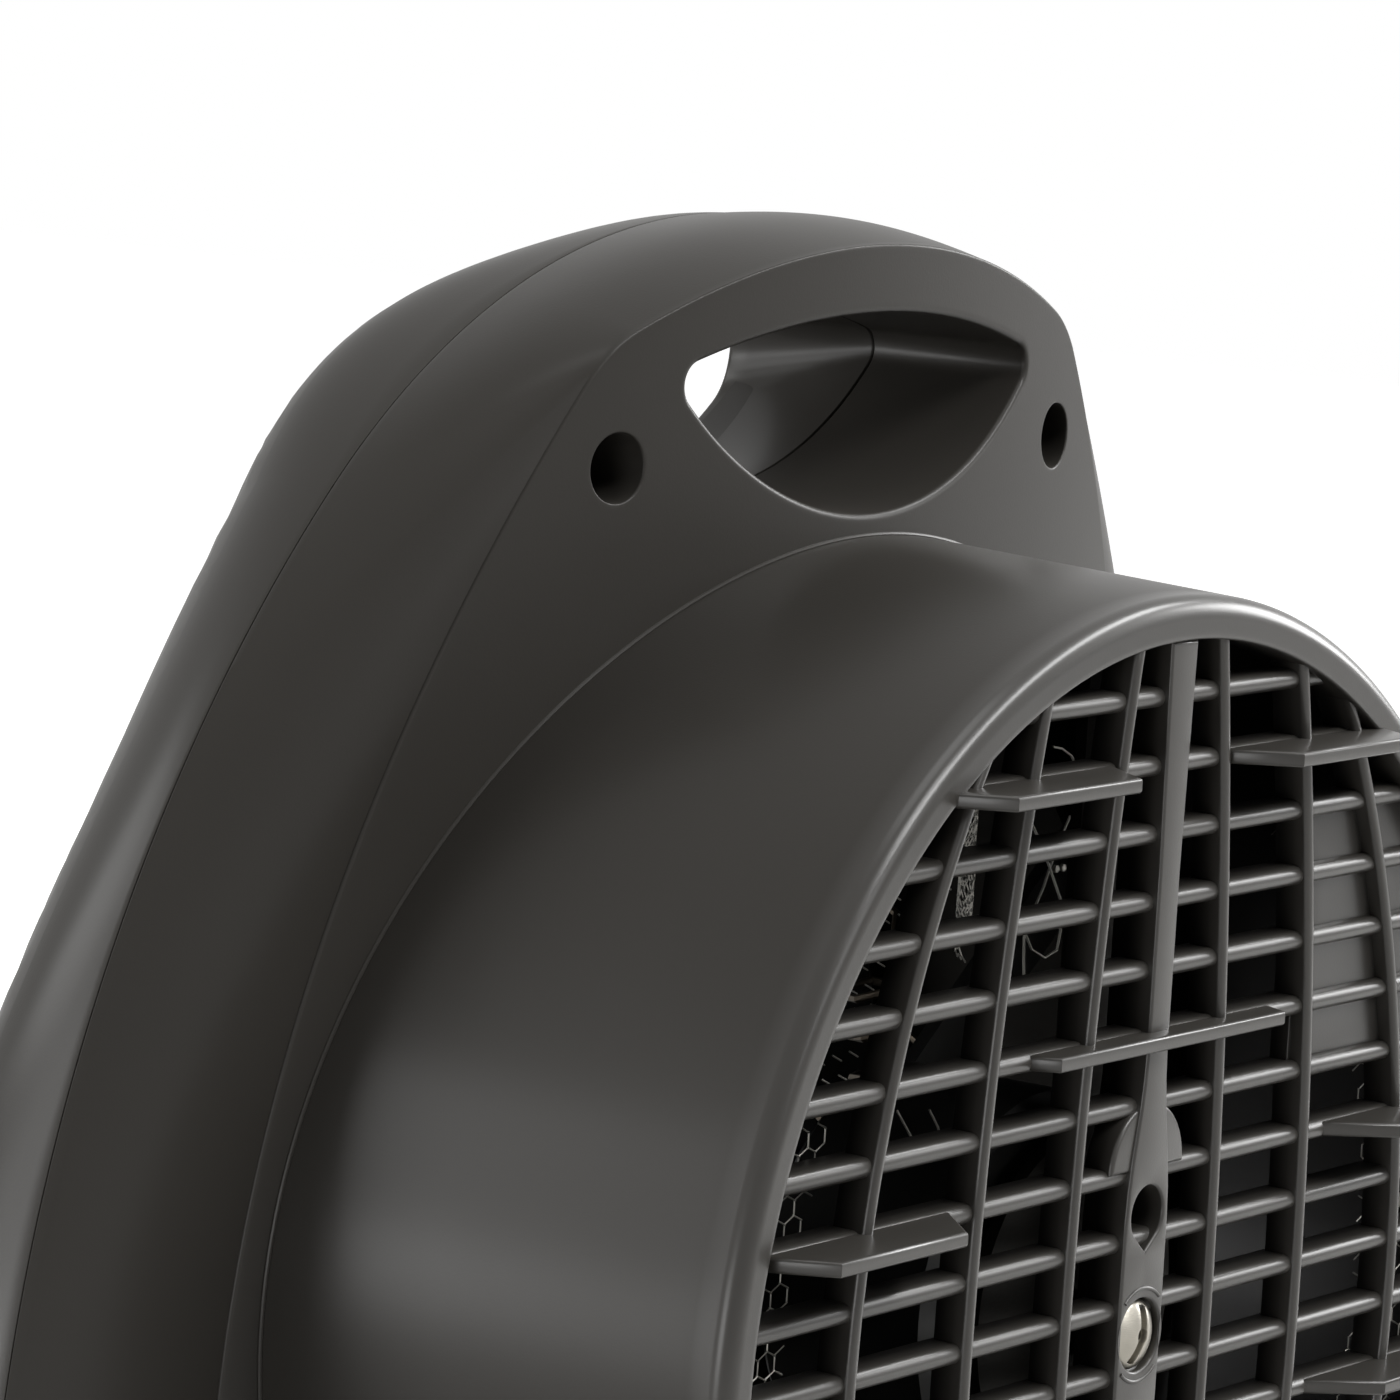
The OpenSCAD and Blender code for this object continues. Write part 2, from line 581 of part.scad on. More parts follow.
module heater_duct() {
  color("#9b9a96") difference() {
    rod(0, drum_z, duct_out_r, clip_y, duct_back_y);
    rod(0, drum_z, outlet_r, clip_y - 1, duct_back_y + 1);
  }
}

module mica_boards() {
  half = outlet_r - small_fit;
  color("#b9ab8c") difference() {
    union() {
      translate([-half, board_y0, drum_z - board_t / 2]) cube([2 * half, board_y1 - board_y0, board_t]);
      translate([-board_t / 2, board_y0, drum_z - half]) cube([board_t, board_y1 - board_y0, 2 * half]);
    }
    for (a = [0:90:270]) translate([0, 0, drum_z]) rotate([0, a, 0]) for (r = [outer_ring_r, inner_ring_r])
      translate([r, coil_y, 0]) cylinder(h = 4 * board_t, r = curl_r + coil_wire / 2 + 0.3, center = true);
  }
}

// Round wire along a path; refs gives a direction across the wire at each point
function unit(v) = v / norm(v);
module wire(path, refs, r, sides) {
  n = len(path) - 1;
  points = [for (i = [0:n]) let(p = path[i], d = unit(path[min(i + 1, n)] - path[max(i - 1, 0)]),
      u = unit(refs[i] - (refs[i] * d) * d), v = cross(d, u))
    for (k = [0:sides - 1]) p + r * (cos(360 * k / sides) * u + sin(360 * k / sides) * v)];
  skin = [for (i = [0:n - 1]) for (k = [0:sides - 1]) for (f = [0, 1])
    let(a = i * sides + k, b = i * sides + (k + 1) % sides) f == 0 ? [a, a + sides, b] : [b, a + sides, b + sides]];
  ends = concat([for (k = [1:sides - 2]) [0, k, k + 1]],
    [for (k = [1:sides - 2]) [n * sides, n * sides + k + 1, n * sides + k]]);
  polyhedron(points = points, faces = concat(skin, ends));
}

// Ring-shaped winding as one unbroken wire, its two ends a little apart
curl_points = 8;
module winding(ring_r, curls) {
  n = curls * curl_points;
  outs = [for (i = [0:n]) let(t = 356 * i / n) [cos(t), 0, sin(t)]];
  refs = [for (i = [0:n]) let(a = 360 * i / curl_points) cos(a) * outs[i] + sin(a) * [0, 1, 0]];
  path = [for (i = [0:n]) [0, coil_y, drum_z] + ring_r * outs[i] + curl_r * refs[i]];
  echo(least_gap_between_curls = min([for (i = [0:n - curl_points]) norm(path[i] - path[i + curl_points])]) - coil_wire);
  wire(path, refs, coil_wire / 2, 6);
}
module outer_coil() { color("#b08a55") winding(outer_ring_r, 56); }
module inner_coil() { color("#b08a55") winding(inner_ring_r, 34); }

module thermal_cutout() {
  z0 = drum_z + outlet_r - 11;
  color("#77716a") {
    translate([8, board_y0 + 4, z0]) cube([16, 12, 6]);
    translate([board_t / 2, board_y0 + 9, z0 + 1]) cube([8, 1, 4]);
  }
}

bush_r = 4.6;
bush_nose = 1.2;
switch_w = 24;
switch_l = 16;
// Rotary control: square body behind the panel and a round nose through it
module control_body(x) {
  y1 = front_in_y + small_fit + switch_l;
  difference() {
    union() {
      translate([x - switch_w / 2, front_in_y + small_fit, knob_z - switch_w / 2]) cube([switch_w, switch_l, switch_w]);
      rod(x, knob_z, bush_r, front_rim_y - bush_nose, front_in_y + 1);
      for (s = [-1, 0, 1]) translate([x + s * 7 - 1.5, y1 - 0.01, knob_z - 4]) cube([3, 6, 0.8]);
    }
    rod(x, knob_z, knob_shaft_r + run_gap, front_rim_y - bush_nose - 1, y1 - 2);
  }
}
module control_shaft(x) {
  rod(x, knob_z, knob_shaft_r, front_rim_y - knob_h + 3, front_in_y + switch_l - 3);
}
knob_back_y = front_rim_y - bush_nose - 0.4;
module control_knob(x) {
  front_y = front_rim_y - knob_h;
  difference() {
    union() {
      turned(x, knob_z, [[0, front_y + 6], [knob_r - 2, front_y + 6], [knob_r - 0.5, front_y + 7.5],
        [knob_r, knob_back_y], [0, knob_back_y]]);
      intersection() {
        translate([x - 3, front_y, knob_z - knob_r]) cube([6, 8, 2 * knob_r]);
        rod(x, knob_z, knob_r - 2.2, front_y, front_y + 8);
      }
    }
    rod(x, knob_z, knob_shaft_r + press_gap, front_rim_y - knob_h + 3, knob_back_y + 1);
    translate([x - 0.5, front_y - 1, knob_z + knob_r - 9]) cube([1, 1.6, 9]);
  }
}
module thermostat() { color("#6b5f4a") control_body(knob_x); }
module thermostat_shaft() { color("#b9b9b6") control_shaft(knob_x); }
module thermostat_knob() { color("#3c3b39") control_knob(knob_x); }
module selector_switch() { color("#2e2e2e") control_body(-knob_x); }
module selector_shaft() { color("#b9b9b6") control_shaft(-knob_x); }
module selector_knob() { color("#3c3b39") control_knob(-knob_x); }

module lamp_lens() {
  color("#c23b22") turned(0, knob_z, [[0, front_rim_y - 1.8], [lamp_r - 1.2, front_rim_y - 1.8], [lamp_r, front_rim_y - 1],
    [lamp_r, front_rim_y], [lamp_r - 0.8, front_rim_y], [lamp_r - 0.8, front_in_y + 3], [0, front_in_y + 3]]);
}
module neon_lamp() { color("#e6a070") rod(0, knob_z, lamp_r - 1, front_in_y + 3, front_in_y + 13); }

block = [18, -15, base_top + wall + 6];
block_size = [28, 11, 12];
module terminal_block() {
  color("#d8d5cb") difference() {
    union() {
      translate(block) cube(block_size);
      for (x = [0, block_size[0] - 3]) translate([block[0] + x, block[1] + 2, base_top + wall]) cube([3, 7, 7]);
    }
    for (k = [0:2]) pole(block[0] + 5 + 9 * k, block[1] + block_size[1] / 2, 2, block[2] + 4, block[2] + block_size[2] + 1);
  }
}

// Internal leads from the terminal block to the two controls
lead_r = 1.1;
module lead(path) { wire(path, [for (p = path) [0.31, 0.52, 0.8]], lead_r, 8); }
module supply_leads() {
  y0 = block[1] - lead_r;
  y = block[1] - 4;
  z = block[2] + 8;
  color("#7a3b2a") {
    lead([[block[0] + 5, y0, z], [block[0] + 5, y + 1, z + 3], [block[0] + 6, y, z + 5], [knob_x - 8, y, knob_z + 5],
      [knob_x - 7, y, knob_z + 4], [knob_x - 7, y - 1.5, knob_z - 2]]);
    lead([[block[0] + 14, y0, z - 5], [block[0] + 14, y + 1, z - 7], [block[0] + 12, y, z - 8],
      [-knob_x + 8, y, z - 8], [-knob_x + 7, y, z - 7], [-knob_x + 7, y - 1.5, knob_z - 5]]);
  }
}

// Bushing where the supply cord enters
module cord_gland() {
  flange_y = plate_y + fit;
  color("#252525") difference() {
    turned(0, gland_z, [[0, plate_y - wall - 4], [gland_r, plate_y - wall - 4], [gland_r, flange_y],
      [gland_r + 2.4, flange_y], [gland_r + 2.4, flange_y + 1.6], [gland_r, flange_y + 2.6], [0, flange_y + 2.6]]);
    rod(0, gland_z, gland_r - 2, plate_y - wall - 5, plate_y + 4);
  }
}

module casing_screws() {
  color("#8d8d8b") for (p = recesses()) difference() {
    turned(p[0], p[1], [[0, front_rim_y + 9], [screw_r - small_fit - 0.02, front_rim_y + 9],
      [screw_r - small_fit - 0.02, recess_floor], [screw_head_r, recess_floor], [screw_head_r, recess_floor + 1.8],
      [screw_head_r - 1, recess_floor + 2.6], [0, recess_floor + 2.6]]);
    translate([p[0] - 0.5, recess_floor + 1.6, p[1] - 2]) cube([1, 2, 4]);
    translate([p[0] - 2, recess_floor + 1.6, p[1] - 0.5]) cube([4, 2, 1]);
  }
}

// Rounded oblong of the base, drawn in by d
module base_outline(d) {
  r = base_corner_r - d;
  x = base_w / 2 - base_corner_r;
  y = base_d / 2 - base_corner_r;
  union() {
    for (sx = [-1, 1]) for (sy = [-1, 1]) translate([sx * x, sy * y]) circle(r = r, $fn = 96);
    square([2 * (x + r), 2 * y], center = true);
    square([2 * x, 2 * (y + r)], center = true);
  }
}

cover_t = 2.4;
cover_z = foot_h + 0.4;
base_posts = [64, 40];
stand_points = [[rear_boss[0], rear_boss[1]], [-rear_boss[0], rear_boss[1]],
  [front_boss[0], front_boss[1]], [-front_boss[0], front_boss[1]]];
plunger_y = 24;
module base_posts_at() { for (sx = [-1, 1]) for (sy = [-1, 1]) translate([sx * base_posts[0], sy * base_posts[1], 0]) children(); }

module base_shell() {
  edge = 3;
  color("#474643") difference() {
    union() {
      translate([0, 0, foot_h]) linear_extrude(base_top - edge - foot_h) base_outline(0);
      translate([0, 0, base_top - edge - 0.01]) linear_extrude(edge - 1.5) base_outline(0.9);
      translate([0, 0, base_top - 1.52]) linear_extrude(1.52) base_outline(edge);
    }
    difference() {
      translate([0, 0, foot_h - 1]) linear_extrude(base_top - wall - foot_h + 1) base_outline(wall + edge);
      base_posts_at() pole(0, 0, 4, cover_z + cover_t, base_top);
    }
    translate([0, 0, foot_h - 1]) linear_extrude(cover_z + cover_t - foot_h + 1) base_outline(wall);
    base_posts_at() pole(0, 0, screw_r - small_fit, cover_z, base_top - wall);
    for (p = stand_points) pole(p[0], p[1], screw_r + small_fit, base_top - wall - 1, base_top + 1);
    pole(0, passage_y, passage_r, base_top - wall - 1, base_top + 1);
  }
}

module base_plate() {
  color("#3b3a38") difference() {
    translate([0, 0, cover_z]) linear_extrude(cover_t) base_outline(wall + fit);
    base_posts_at() pole(0, 0, screw_r + small_fit, cover_z - 1, cover_z + cover_t + 1);
    foot_places() pole(0, 0, foot_stem_r, cover_z - 1, cover_z + cover_t + 1);
    pole(0, plunger_y, plunger_r + 1.2, cover_z - 1, cover_z + cover_t + 1);
  }
}

foot_stem_r = 3;
foot_spot = [100, 40];
module foot_places() { for (sx = [-1, 1]) for (sy = [-1, 1]) translate([sx * foot_spot[0], sy * foot_spot[1], 0]) children(); }
module rubber_feet() {
  color("#1f1f1f") foot_places() rotate_extrude() polygon([[0, 0], [foot_r - 1, 0], [foot_r, 1], [foot_r, cover_z],
    [foot_stem_r, cover_z], [foot_stem_r, cover_z + cover_t + 1], [0, cover_z + cover_t + 1]]);
}

module stand_screws() {
  color("#8d8d8b") for (p = stand_points) translate([p[0], p[1], 0]) rotate_extrude()
    polygon([[0, base_top - wall - 2], [screw_head_r, base_top - wall - 2], [screw_head_r, base_top - wall],
      [screw_r - 0.02, base_top - wall], [screw_r - 0.02, base_top + foot_boss_h - 4], [0, base_top + foot_boss_h - 3]]);
}

module base_screws() {
  color("#8d8d8b") base_posts_at() rotate_extrude()
    polygon([[0, cover_z - 1.6], [screw_head_r, cover_z - 1.6], [screw_head_r, cover_z],
      [screw_r - small_fit - 0.02, cover_z], [screw_r - small_fit - 0.02, base_top - wall - 1], [0, base_top - wall - 0.5]]);
}

plunger_r = 3;
switch_z0 = cover_z + cover_t;
switch_z1 = base_top - wall - 0.1;
switch_floor = 1.6;
plunger_head = 1.2;
plunger_top = switch_z0 + switch_floor + tip_travel + plunger_head;
spring_r = 2.2;
spring_wire = 0.5;
spring_coils = 3;
// Tip-over switch: a hollow box over the plunger
module tip_switch() {
  color("#d8d5cb") difference() {
    translate([-10, plunger_y - 7, switch_z0]) cube([20, 14, switch_z1 - switch_z0]);
    pole(0, plunger_y, plunger_r + run_gap, switch_z0 - 1, switch_z1 - 4);
    pole(0, plunger_y, plunger_r + 1.5, switch_z0 + switch_floor, switch_z1 - 1.2);
  }
}
module tip_plunger() {
  color("#b9482f") {
    pole(0, plunger_y, plunger_r, 0.3, plunger_top);
    pole(0, plunger_y, plunger_r + 1, plunger_top - plunger_head, plunger_top);
  }
}
module tip_spring() {
  z0 = plunger_top + spring_wire / 2 + 0.1;
  z1 = switch_z1 - 1.2 - spring_wire / 2 - 0.1;
  n = spring_coils * 12;
  refs = [for (i = [0:n]) [cos(30 * i), sin(30 * i), 0]];
  path = [for (i = [0:n]) [0, plunger_y, z0 + (z1 - z0) * i / n] + spring_r * refs[i]];
  color("#b9b9b6") wire(path, refs, spring_wire / 2, 6);
}

module outlet_bezel() {
  y0 = front_rim_y - bezel_h;
  out_r = outlet_r + bezel_w;
  in_r = outlet_r - 1.6;
  color("#2f2f2e") turned(0, drum_z, [[in_r, front_in_y - 0.05], [in_r, y0 + 1.5], [in_r + 1.5, y0],
    [out_r - 3.5, y0], [out_r - 1, y0 + 1.2], [out_r, front_rim_y - 0.02], [outlet_r - small_fit, front_rim_y - 0.02],
    [outlet_r - small_fit, front_in_y - 0.05]]);
}

module front_guard() {
  rows = ceil(outlet_r / (mesh_pitch * sin(60)));
  cell_r = (mesh_pitch - mesh_web) / 2 / cos(30);
  color("#2a2a2a") upright(front_in_y, front_in_y + mesh_t) translate([0, drum_z]) difference() {
    circle(r = duct_out_r, $fn = 128);
    for (j = [-rows:rows]) for (i = [-rows:rows])
      let(x = (i + (abs(j) % 2) / 2) * mesh_pitch, z = j * mesh_pitch * sin(60))
      if (norm([x, z]) < outlet_r - 1 - mesh_pitch / 2) translate([x, z]) rotate(30) circle(r = cell_r, $fn = 6);
  }
}

front_shell();
rear_shell();
drum_grille();
outlet_bezel();
front_guard();
heater_duct();
mica_boards();
outer_coil();
inner_coil();
thermal_cutout();
motor_can();
motor_bushes();
motor_bracket();
bracket_screws();
motor_shaft();
fan_blades();
fan_nut();
grille_screw();
thermostat();
thermostat_shaft();
thermostat_knob();
selector_switch();
selector_shaft();
selector_knob();
lamp_lens();
neon_lamp();
terminal_block();
supply_leads();
cord_gland();
casing_screws();
base_shell();
base_plate();
stand_screws();
base_screws();
rubber_feet();
tip_switch();
tip_plunger();
tip_spring();
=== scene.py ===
"""Looks of an upright fan heater, seen from behind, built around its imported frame."""
import math

import bmesh
import bpy
import numpy as np
from mathutils import Matrix, Vector
from mathutils.geometry import delaunay_2d_cdt


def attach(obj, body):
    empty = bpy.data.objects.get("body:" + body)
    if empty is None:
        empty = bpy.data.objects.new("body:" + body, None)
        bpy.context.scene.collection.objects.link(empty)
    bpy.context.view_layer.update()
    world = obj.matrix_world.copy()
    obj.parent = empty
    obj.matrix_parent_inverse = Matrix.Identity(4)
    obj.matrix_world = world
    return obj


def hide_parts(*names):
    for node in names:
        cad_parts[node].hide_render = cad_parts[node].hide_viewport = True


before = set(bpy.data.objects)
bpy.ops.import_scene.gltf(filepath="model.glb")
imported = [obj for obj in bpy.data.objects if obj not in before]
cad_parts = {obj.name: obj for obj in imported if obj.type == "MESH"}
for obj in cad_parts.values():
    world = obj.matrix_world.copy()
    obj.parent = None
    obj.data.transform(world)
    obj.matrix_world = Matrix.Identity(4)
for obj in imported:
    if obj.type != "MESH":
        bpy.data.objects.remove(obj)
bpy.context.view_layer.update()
scene = bpy.context.scene
scene.view_settings.view_transform = "Standard"

# Camera. It stands behind the heater, to its right and a little above the drum, with a long
# lens and a slight roll, so that the casing's top fills the square picture.
PICTURE = 1400
FOCAL_PIXELS = 6772.2
SENSOR_MM = 36
TURN, PITCH, ROLL = (math.radians(a) for a in (125.325, 7.519, 3.353))
PLACE = Vector((0.70485, 0.47852, 0.33525))
level_right = Vector((math.cos(TURN), math.sin(TURN), 0))
back = Vector((math.sin(TURN) * math.cos(PITCH), -math.cos(TURN) * math.cos(PITCH), math.sin(PITCH)))
level_up = back.cross(level_right)
right = level_right * math.cos(ROLL) + level_up * math.sin(ROLL)
up = level_up * math.cos(ROLL) - level_right * math.sin(ROLL)
camera_data = bpy.data.cameras.new("camera")
camera_data.sensor_width = SENSOR_MM
camera_data.sensor_fit = "HORIZONTAL"
camera_data.lens = FOCAL_PIXELS / PICTURE * SENSOR_MM
camera = bpy.data.objects.new("camera", camera_data)
camera.matrix_world = Matrix.Translation(PLACE) @ Matrix((right, up, back)).transposed().to_4x4()
scene.collection.objects.link(camera)
scene.camera = camera


# Rear shell. One moulding in dark ABS: a back plate curved from side to side with a crisp raised
# edge, sides that sweep forward to the seam, a lens-shaped opening to carry it by, and sunk holes
# for the casing screws.
CASING_TOP = 283.8
PLATE_TOP = 282.1
CASING_FOOT = 22.0
SEAM_ARCS = ((106, 45), (185, 90))
PLATE_ARCS = ((114, 24), (19, 53.5), (227, 90))
LOW_SPREAD = 14.4
PLATE_Y = 3.9
PLATE_RADIUS = 263.0
REAR_SEAM_Y = -22.95
FRONT_SEAM_Y = -23.05
SIDE_TOP_ANGLES = (45.0, 78.0)
SIDE_LOW_ANGLES = (47.0, 68.0)
SIDE_TURNS = (15.0, 50.0)
TOP_SWELL = 1.3
SWELL_FADE = 1.3
WALL = 2.4
CREASE = 0.4
SEAM_ROUND = ((0.0, 0.15), (0.04, 0.04), (0.15, 0.0), (1.0, 0.0))
TONGUE = ((1.0, -1.4), (WALL, -1.4))
DRUM_Z = 153.0
DRUM_HOLE = 91.0
RECESSES = ((48.6, 255.5), (-48.6, 255.5), (70, 70), (-70, 70))
RECESS_RADIUS = 4.3
RECESS_FLOOR_Y = -18.0
SCREW_HOLE = 1.85
BOSS_WALL = 1.9
GLAND_Z = 40.0
GLAND_HOLE = 5.7
LENS_EDGE = 0.9
LENS_WALL = 2.0
OUTER_SPACING = 3.0
INNER_SPACING = 5.0
ROW_STEP = 0.866
turns = np.radians(np.concatenate([np.arange(0, 90, 0.5), 90 + LOW_SPREAD * np.arange(0, 41) / 40]))


def outline(arcs, top, inset=0.0):
    """Right half of a casing outline: arcs of growing tangent angle down from the top, then one arc
    that ends at the foot; a point moves inwards along its normal by the inset."""
    x = np.zeros_like(turns)
    drop = np.zeros_like(turns)
    full_drop = 0.0
    start = 0.0
    for radius, end in arcs:
        end = math.radians(end)
        reached = np.clip(turns, start, end)
        x = x + radius * (np.sin(reached) - math.sin(start))
        drop = drop + radius * (math.cos(start) - np.cos(reached))
        full_drop += radius * (math.cos(start) - math.cos(end))
        start = end
    low_radius = (top - CASING_FOOT - full_drop) / math.sin(math.radians(LOW_SPREAD))
    past = np.maximum(turns - math.pi / 2, 0)
    x = x - low_radius * (1 - np.cos(past)) - inset * np.sin(turns)
    z = top - drop - low_radius * np.sin(past) - inset * np.cos(np.minimum(turns, math.pi / 2))
    return x, z


def plate_at(x):
    """Height of the curved back plate: an arc about an upright axis."""
    return PLATE_Y - PLATE_RADIUS + np.sqrt(PLATE_RADIUS ** 2 - x ** 2)


def closed_loop(x, y, z, foot_y):
    """Whole outline from its right half: down the right side, along the foot, up the left side.
    The foot's points keep the height z of the end and take their y from foot_y at each x."""
    foot_x = np.linspace(x[-1], -x[-1], 32)[1:-1]
    return np.stack([
        np.concatenate([x, foot_x, -x[:0:-1]]),
        np.concatenate([y, foot_y(foot_x), y[:0:-1]]),
        np.concatenate([z, np.full_like(foot_x, z[-1]), z[:0:-1]]),
    ], axis=-1)


def rear_side(t, inset=0.0):
    """Side of the rear shell at t from 0 at the plate to 1 at the seam: a swept curve whose sideways
    run follows the sine and whose depth follows the cosine of an angle from a first to a last one.
    Both angles change from the top's pair to the sides' pair by 3 s^2 - 2 s^3."""
    px, pz = outline(PLATE_ARCS, PLATE_TOP, inset)
    sx, sz = outline(SEAM_ARCS, CASING_TOP, inset)
    low = np.clip((np.degrees(turns) - SIDE_TURNS[0]) / (SIDE_TURNS[1] - SIDE_TURNS[0]), 0, 1)
    low = low * low * (3 - 2 * low)
    first, last = (np.radians(top + (side - top) * low)
                   for top, side in zip(SIDE_TOP_ANGLES, SIDE_LOW_ANGLES))
    angle = first + (last - first) * t
    across = (np.sin(angle) - np.sin(first)) / (np.sin(last) - np.sin(first))
    deep = (np.cos(first) - np.cos(angle)) / (np.cos(first) - np.cos(last))
    swell = TOP_SWELL * np.sin(math.pi * deep) * np.maximum(0, np.cos(SWELL_FADE * turns))
    y0 = plate_at(px) - max(CREASE, inset)
    return (px + (sx - px) * across + swell * np.sin(turns), y0 + (REAR_SEAM_Y - y0) * deep,
            pz + (sz - pz) * across + swell * np.cos(turns), deep)


def rear_ring(t, inset=0.0):
    """Closed ring of the rear shell's side at t; along the foot it changes from the plate's curve
    to the straight seam as the side gets deeper."""
    x, y, z, deep = rear_side(t, inset)
    return closed_loop(x, y, z, lambda fx: y[-1] + (plate_at(fx) - plate_at(x[-1])) * (1 - deep[-1]))


def plate_ring(inset):
    """Closed ring on the back plate, drawn in from the crease by the inset."""
    x, z = outline(PLATE_ARCS, PLATE_TOP, inset)
    return closed_loop(x, plate_at(x), z, plate_at)


def strip(rings):
    """Quads between each closed ring of points and the next."""
    rings = np.asarray(rings, float)
    rows, count = rings.shape[:2]
    here = np.arange(rows * count).reshape(rows, count)
    after = np.roll(here, -1, axis=1)
    quads = np.stack([here[:-1], after[:-1], after[1:], here[1:]], axis=-1)
    return rings.reshape(-1, 3), quads.reshape(-1, 4).tolist()


def inside(points, loops):
    """Even-odd rule: whether each flat point lies inside the loops, counted by edges crossed."""
    crossed = np.zeros(len(points), int)
    for loop in loops:
        a, b = loop, np.roll(loop, -1, axis=0)
        spans = (a[None, :, 1] > points[:, None, 1]) != (b[None, :, 1] > points[:, None, 1])
        rise = np.where(np.abs(b[:, 1] - a[:, 1]) < 1e-12, 1e-12, b[:, 1] - a[:, 1])
        at = a[:, 0] + (b[:, 0] - a[:, 0]) * (points[:, None, 1] - a[:, 1]) / rise
        crossed += (spans & (points[:, None, 0] < at)).sum(axis=1)
    return crossed % 2 == 1


def to_edges(points, a, b):
    """Distance from each flat point to the nearest of the edges a to b, and that edge's number: the
    foot of the perpendicular is a + t (b - a) with t kept from 0 to 1."""
    along = b - a
    run = points[:, None, :] - a
    t = np.clip((run * along).sum(axis=-1) / np.maximum((along ** 2).sum(axis=-1), 1e-9), 0, 1)
    square = ((run - t[..., None] * along) ** 2).sum(axis=-1)
    return np.sqrt(square.min(axis=1)), square.argmin(axis=1)


def fill(loops, spacing, lattice=None):
    """Flat net between the first loop and the loops inside it: an even triangular lattice of points,
    or the points given, kept clear of the loops and joined with them by Delaunay's rule."""
    edge_points = np.concatenate(loops)
    low, high = edge_points.min(axis=0), edge_points.max(axis=0)
    if lattice is None:
        columns = np.arange(low[0], high[0], spacing)
        rows = np.arange(low[1], high[1], spacing * ROW_STEP)
        u, v = np.meshgrid(columns, rows)
        u = u + (np.arange(len(rows)) % 2)[:, None] * spacing / 2
        lattice = np.stack([u.ravel(), v.ravel()], axis=-1)
    lattice = lattice[inside(lattice, loops)] if len(lattice) else lattice
    if len(lattice):
        gaps = np.min([to_edges(lattice, loop, np.roll(loop, -1, axis=0))[0] for loop in loops], axis=0)
        lattice = lattice[gaps > 0.6 * spacing]
    edges = []
    start = 0
    for loop in loops:
        here = np.arange(start, start + len(loop))
        edges += np.stack([here, np.roll(here, -1)], axis=-1).tolist()
        start += len(loop)
    points = np.concatenate([edge_points, lattice])
    net = delaunay_2d_cdt([Vector(p) for p in points.tolist()], edges, [], 0, 1e-6)
    flat = np.array([tuple(p) for p in net[0]])
    faces = np.array(net[2])
    faces = faces[inside(flat[faces].mean(axis=1), loops)]
    return flat, faces.tolist()


def curve_in(a, b, c, steps=6):
    """Rings of a rounded corner: a quadratic curve from ring a to ring c that is drawn to ring b."""
    t = np.linspace(0, 1, steps)[:, None, None]
    return a * (1 - t) ** 2 + b * 2 * t * (1 - t) + c * t ** 2


def lens(grow, tip=3.0):
    """Outline of the handle opening, grown outwards: a flat arc above, a deeper arc below, and small
    arcs at the two tips. Points are x and z."""
    top_centre, top_radius = 149.7, 123.7
    low_centre, low_radius = 300.6, 52.5
    apart = low_centre - top_centre
    r1, r2 = top_radius - tip, low_radius - tip
    tip_z = top_centre + (apart ** 2 + r1 ** 2 - r2 ** 2) / (2 * apart)
    tip_x = math.sqrt(r1 ** 2 - (tip_z - top_centre) ** 2)
    a1 = math.atan2(tip_x, tip_z - top_centre)
    a2 = math.atan2(tip_x, low_centre - tip_z)
    upper = a1 * np.linspace(0, 1, 40)
    at_tip = a1 + (math.pi - a1 - a2) * np.linspace(0, 1, 24)[1:-1]
    lower = a2 * np.linspace(1, 0, 40)
    x = np.concatenate([(top_radius + grow) * np.sin(upper), tip_x + (tip + grow) * np.sin(at_tip),
                        (low_radius + grow) * np.sin(lower)])
    z = np.concatenate([top_centre + (top_radius + grow) * np.cos(upper),
                        tip_z + (tip + grow) * np.cos(at_tip),
                        low_centre - (low_radius + grow) * np.cos(lower)])
    return np.stack([np.concatenate([x, -x[-2:0:-1]]), np.concatenate([z, z[-2:0:-1]])], axis=-1)


def circle(x, z, radius, count=72):
    """Points of a circle, x and z."""
    a = np.arange(count) / count * 2 * math.pi
    return np.stack([x + radius * np.sin(a), z + radius * np.cos(a)], axis=-1)


def stand(flat, y):
    """Flat points (x, z) stood up at y, which is one value or one for each point."""
    return np.insert(flat, 1, y, axis=1)


def hole(loop_at, steps, face):
    """Wall of a hole: for each step (grow, depth) the loop grown by that much, at that depth under
    the face, or at a fixed y where the depth is given as ("y", value)."""
    rings = []
    for grow, depth in steps:
        flat = loop_at(grow)
        rings.append(stand(flat, depth[1] if isinstance(depth, tuple) else face(flat) - depth))
    return strip(rings)


def rounded(radius, steps=5):
    """Steps of a hole's rounded mouth, from flat on the face to straight down the hole."""
    a = np.linspace(0, math.pi / 2, steps)
    return list(zip((radius * (1 - np.sin(a))).tolist(), (radius * (1 - np.cos(a))).tolist()))


def lift(net, face, offset=0.0):
    """A flat net stood up on a face, whose y it gets, and moved along y by the offset."""
    flat, faces = net
    return stand(flat, face(flat) + offset), faces


def colour(text):
    """Linear colour from an sRGB hex value."""
    value = np.array([int(text[i:i + 2], 16) for i in (1, 3, 5)]) / 255
    linear = np.where(value <= 0.04045, value / 12.92, ((value + 0.055) / 1.055) ** 2.4)
    return (*linear.tolist(), 1.0)


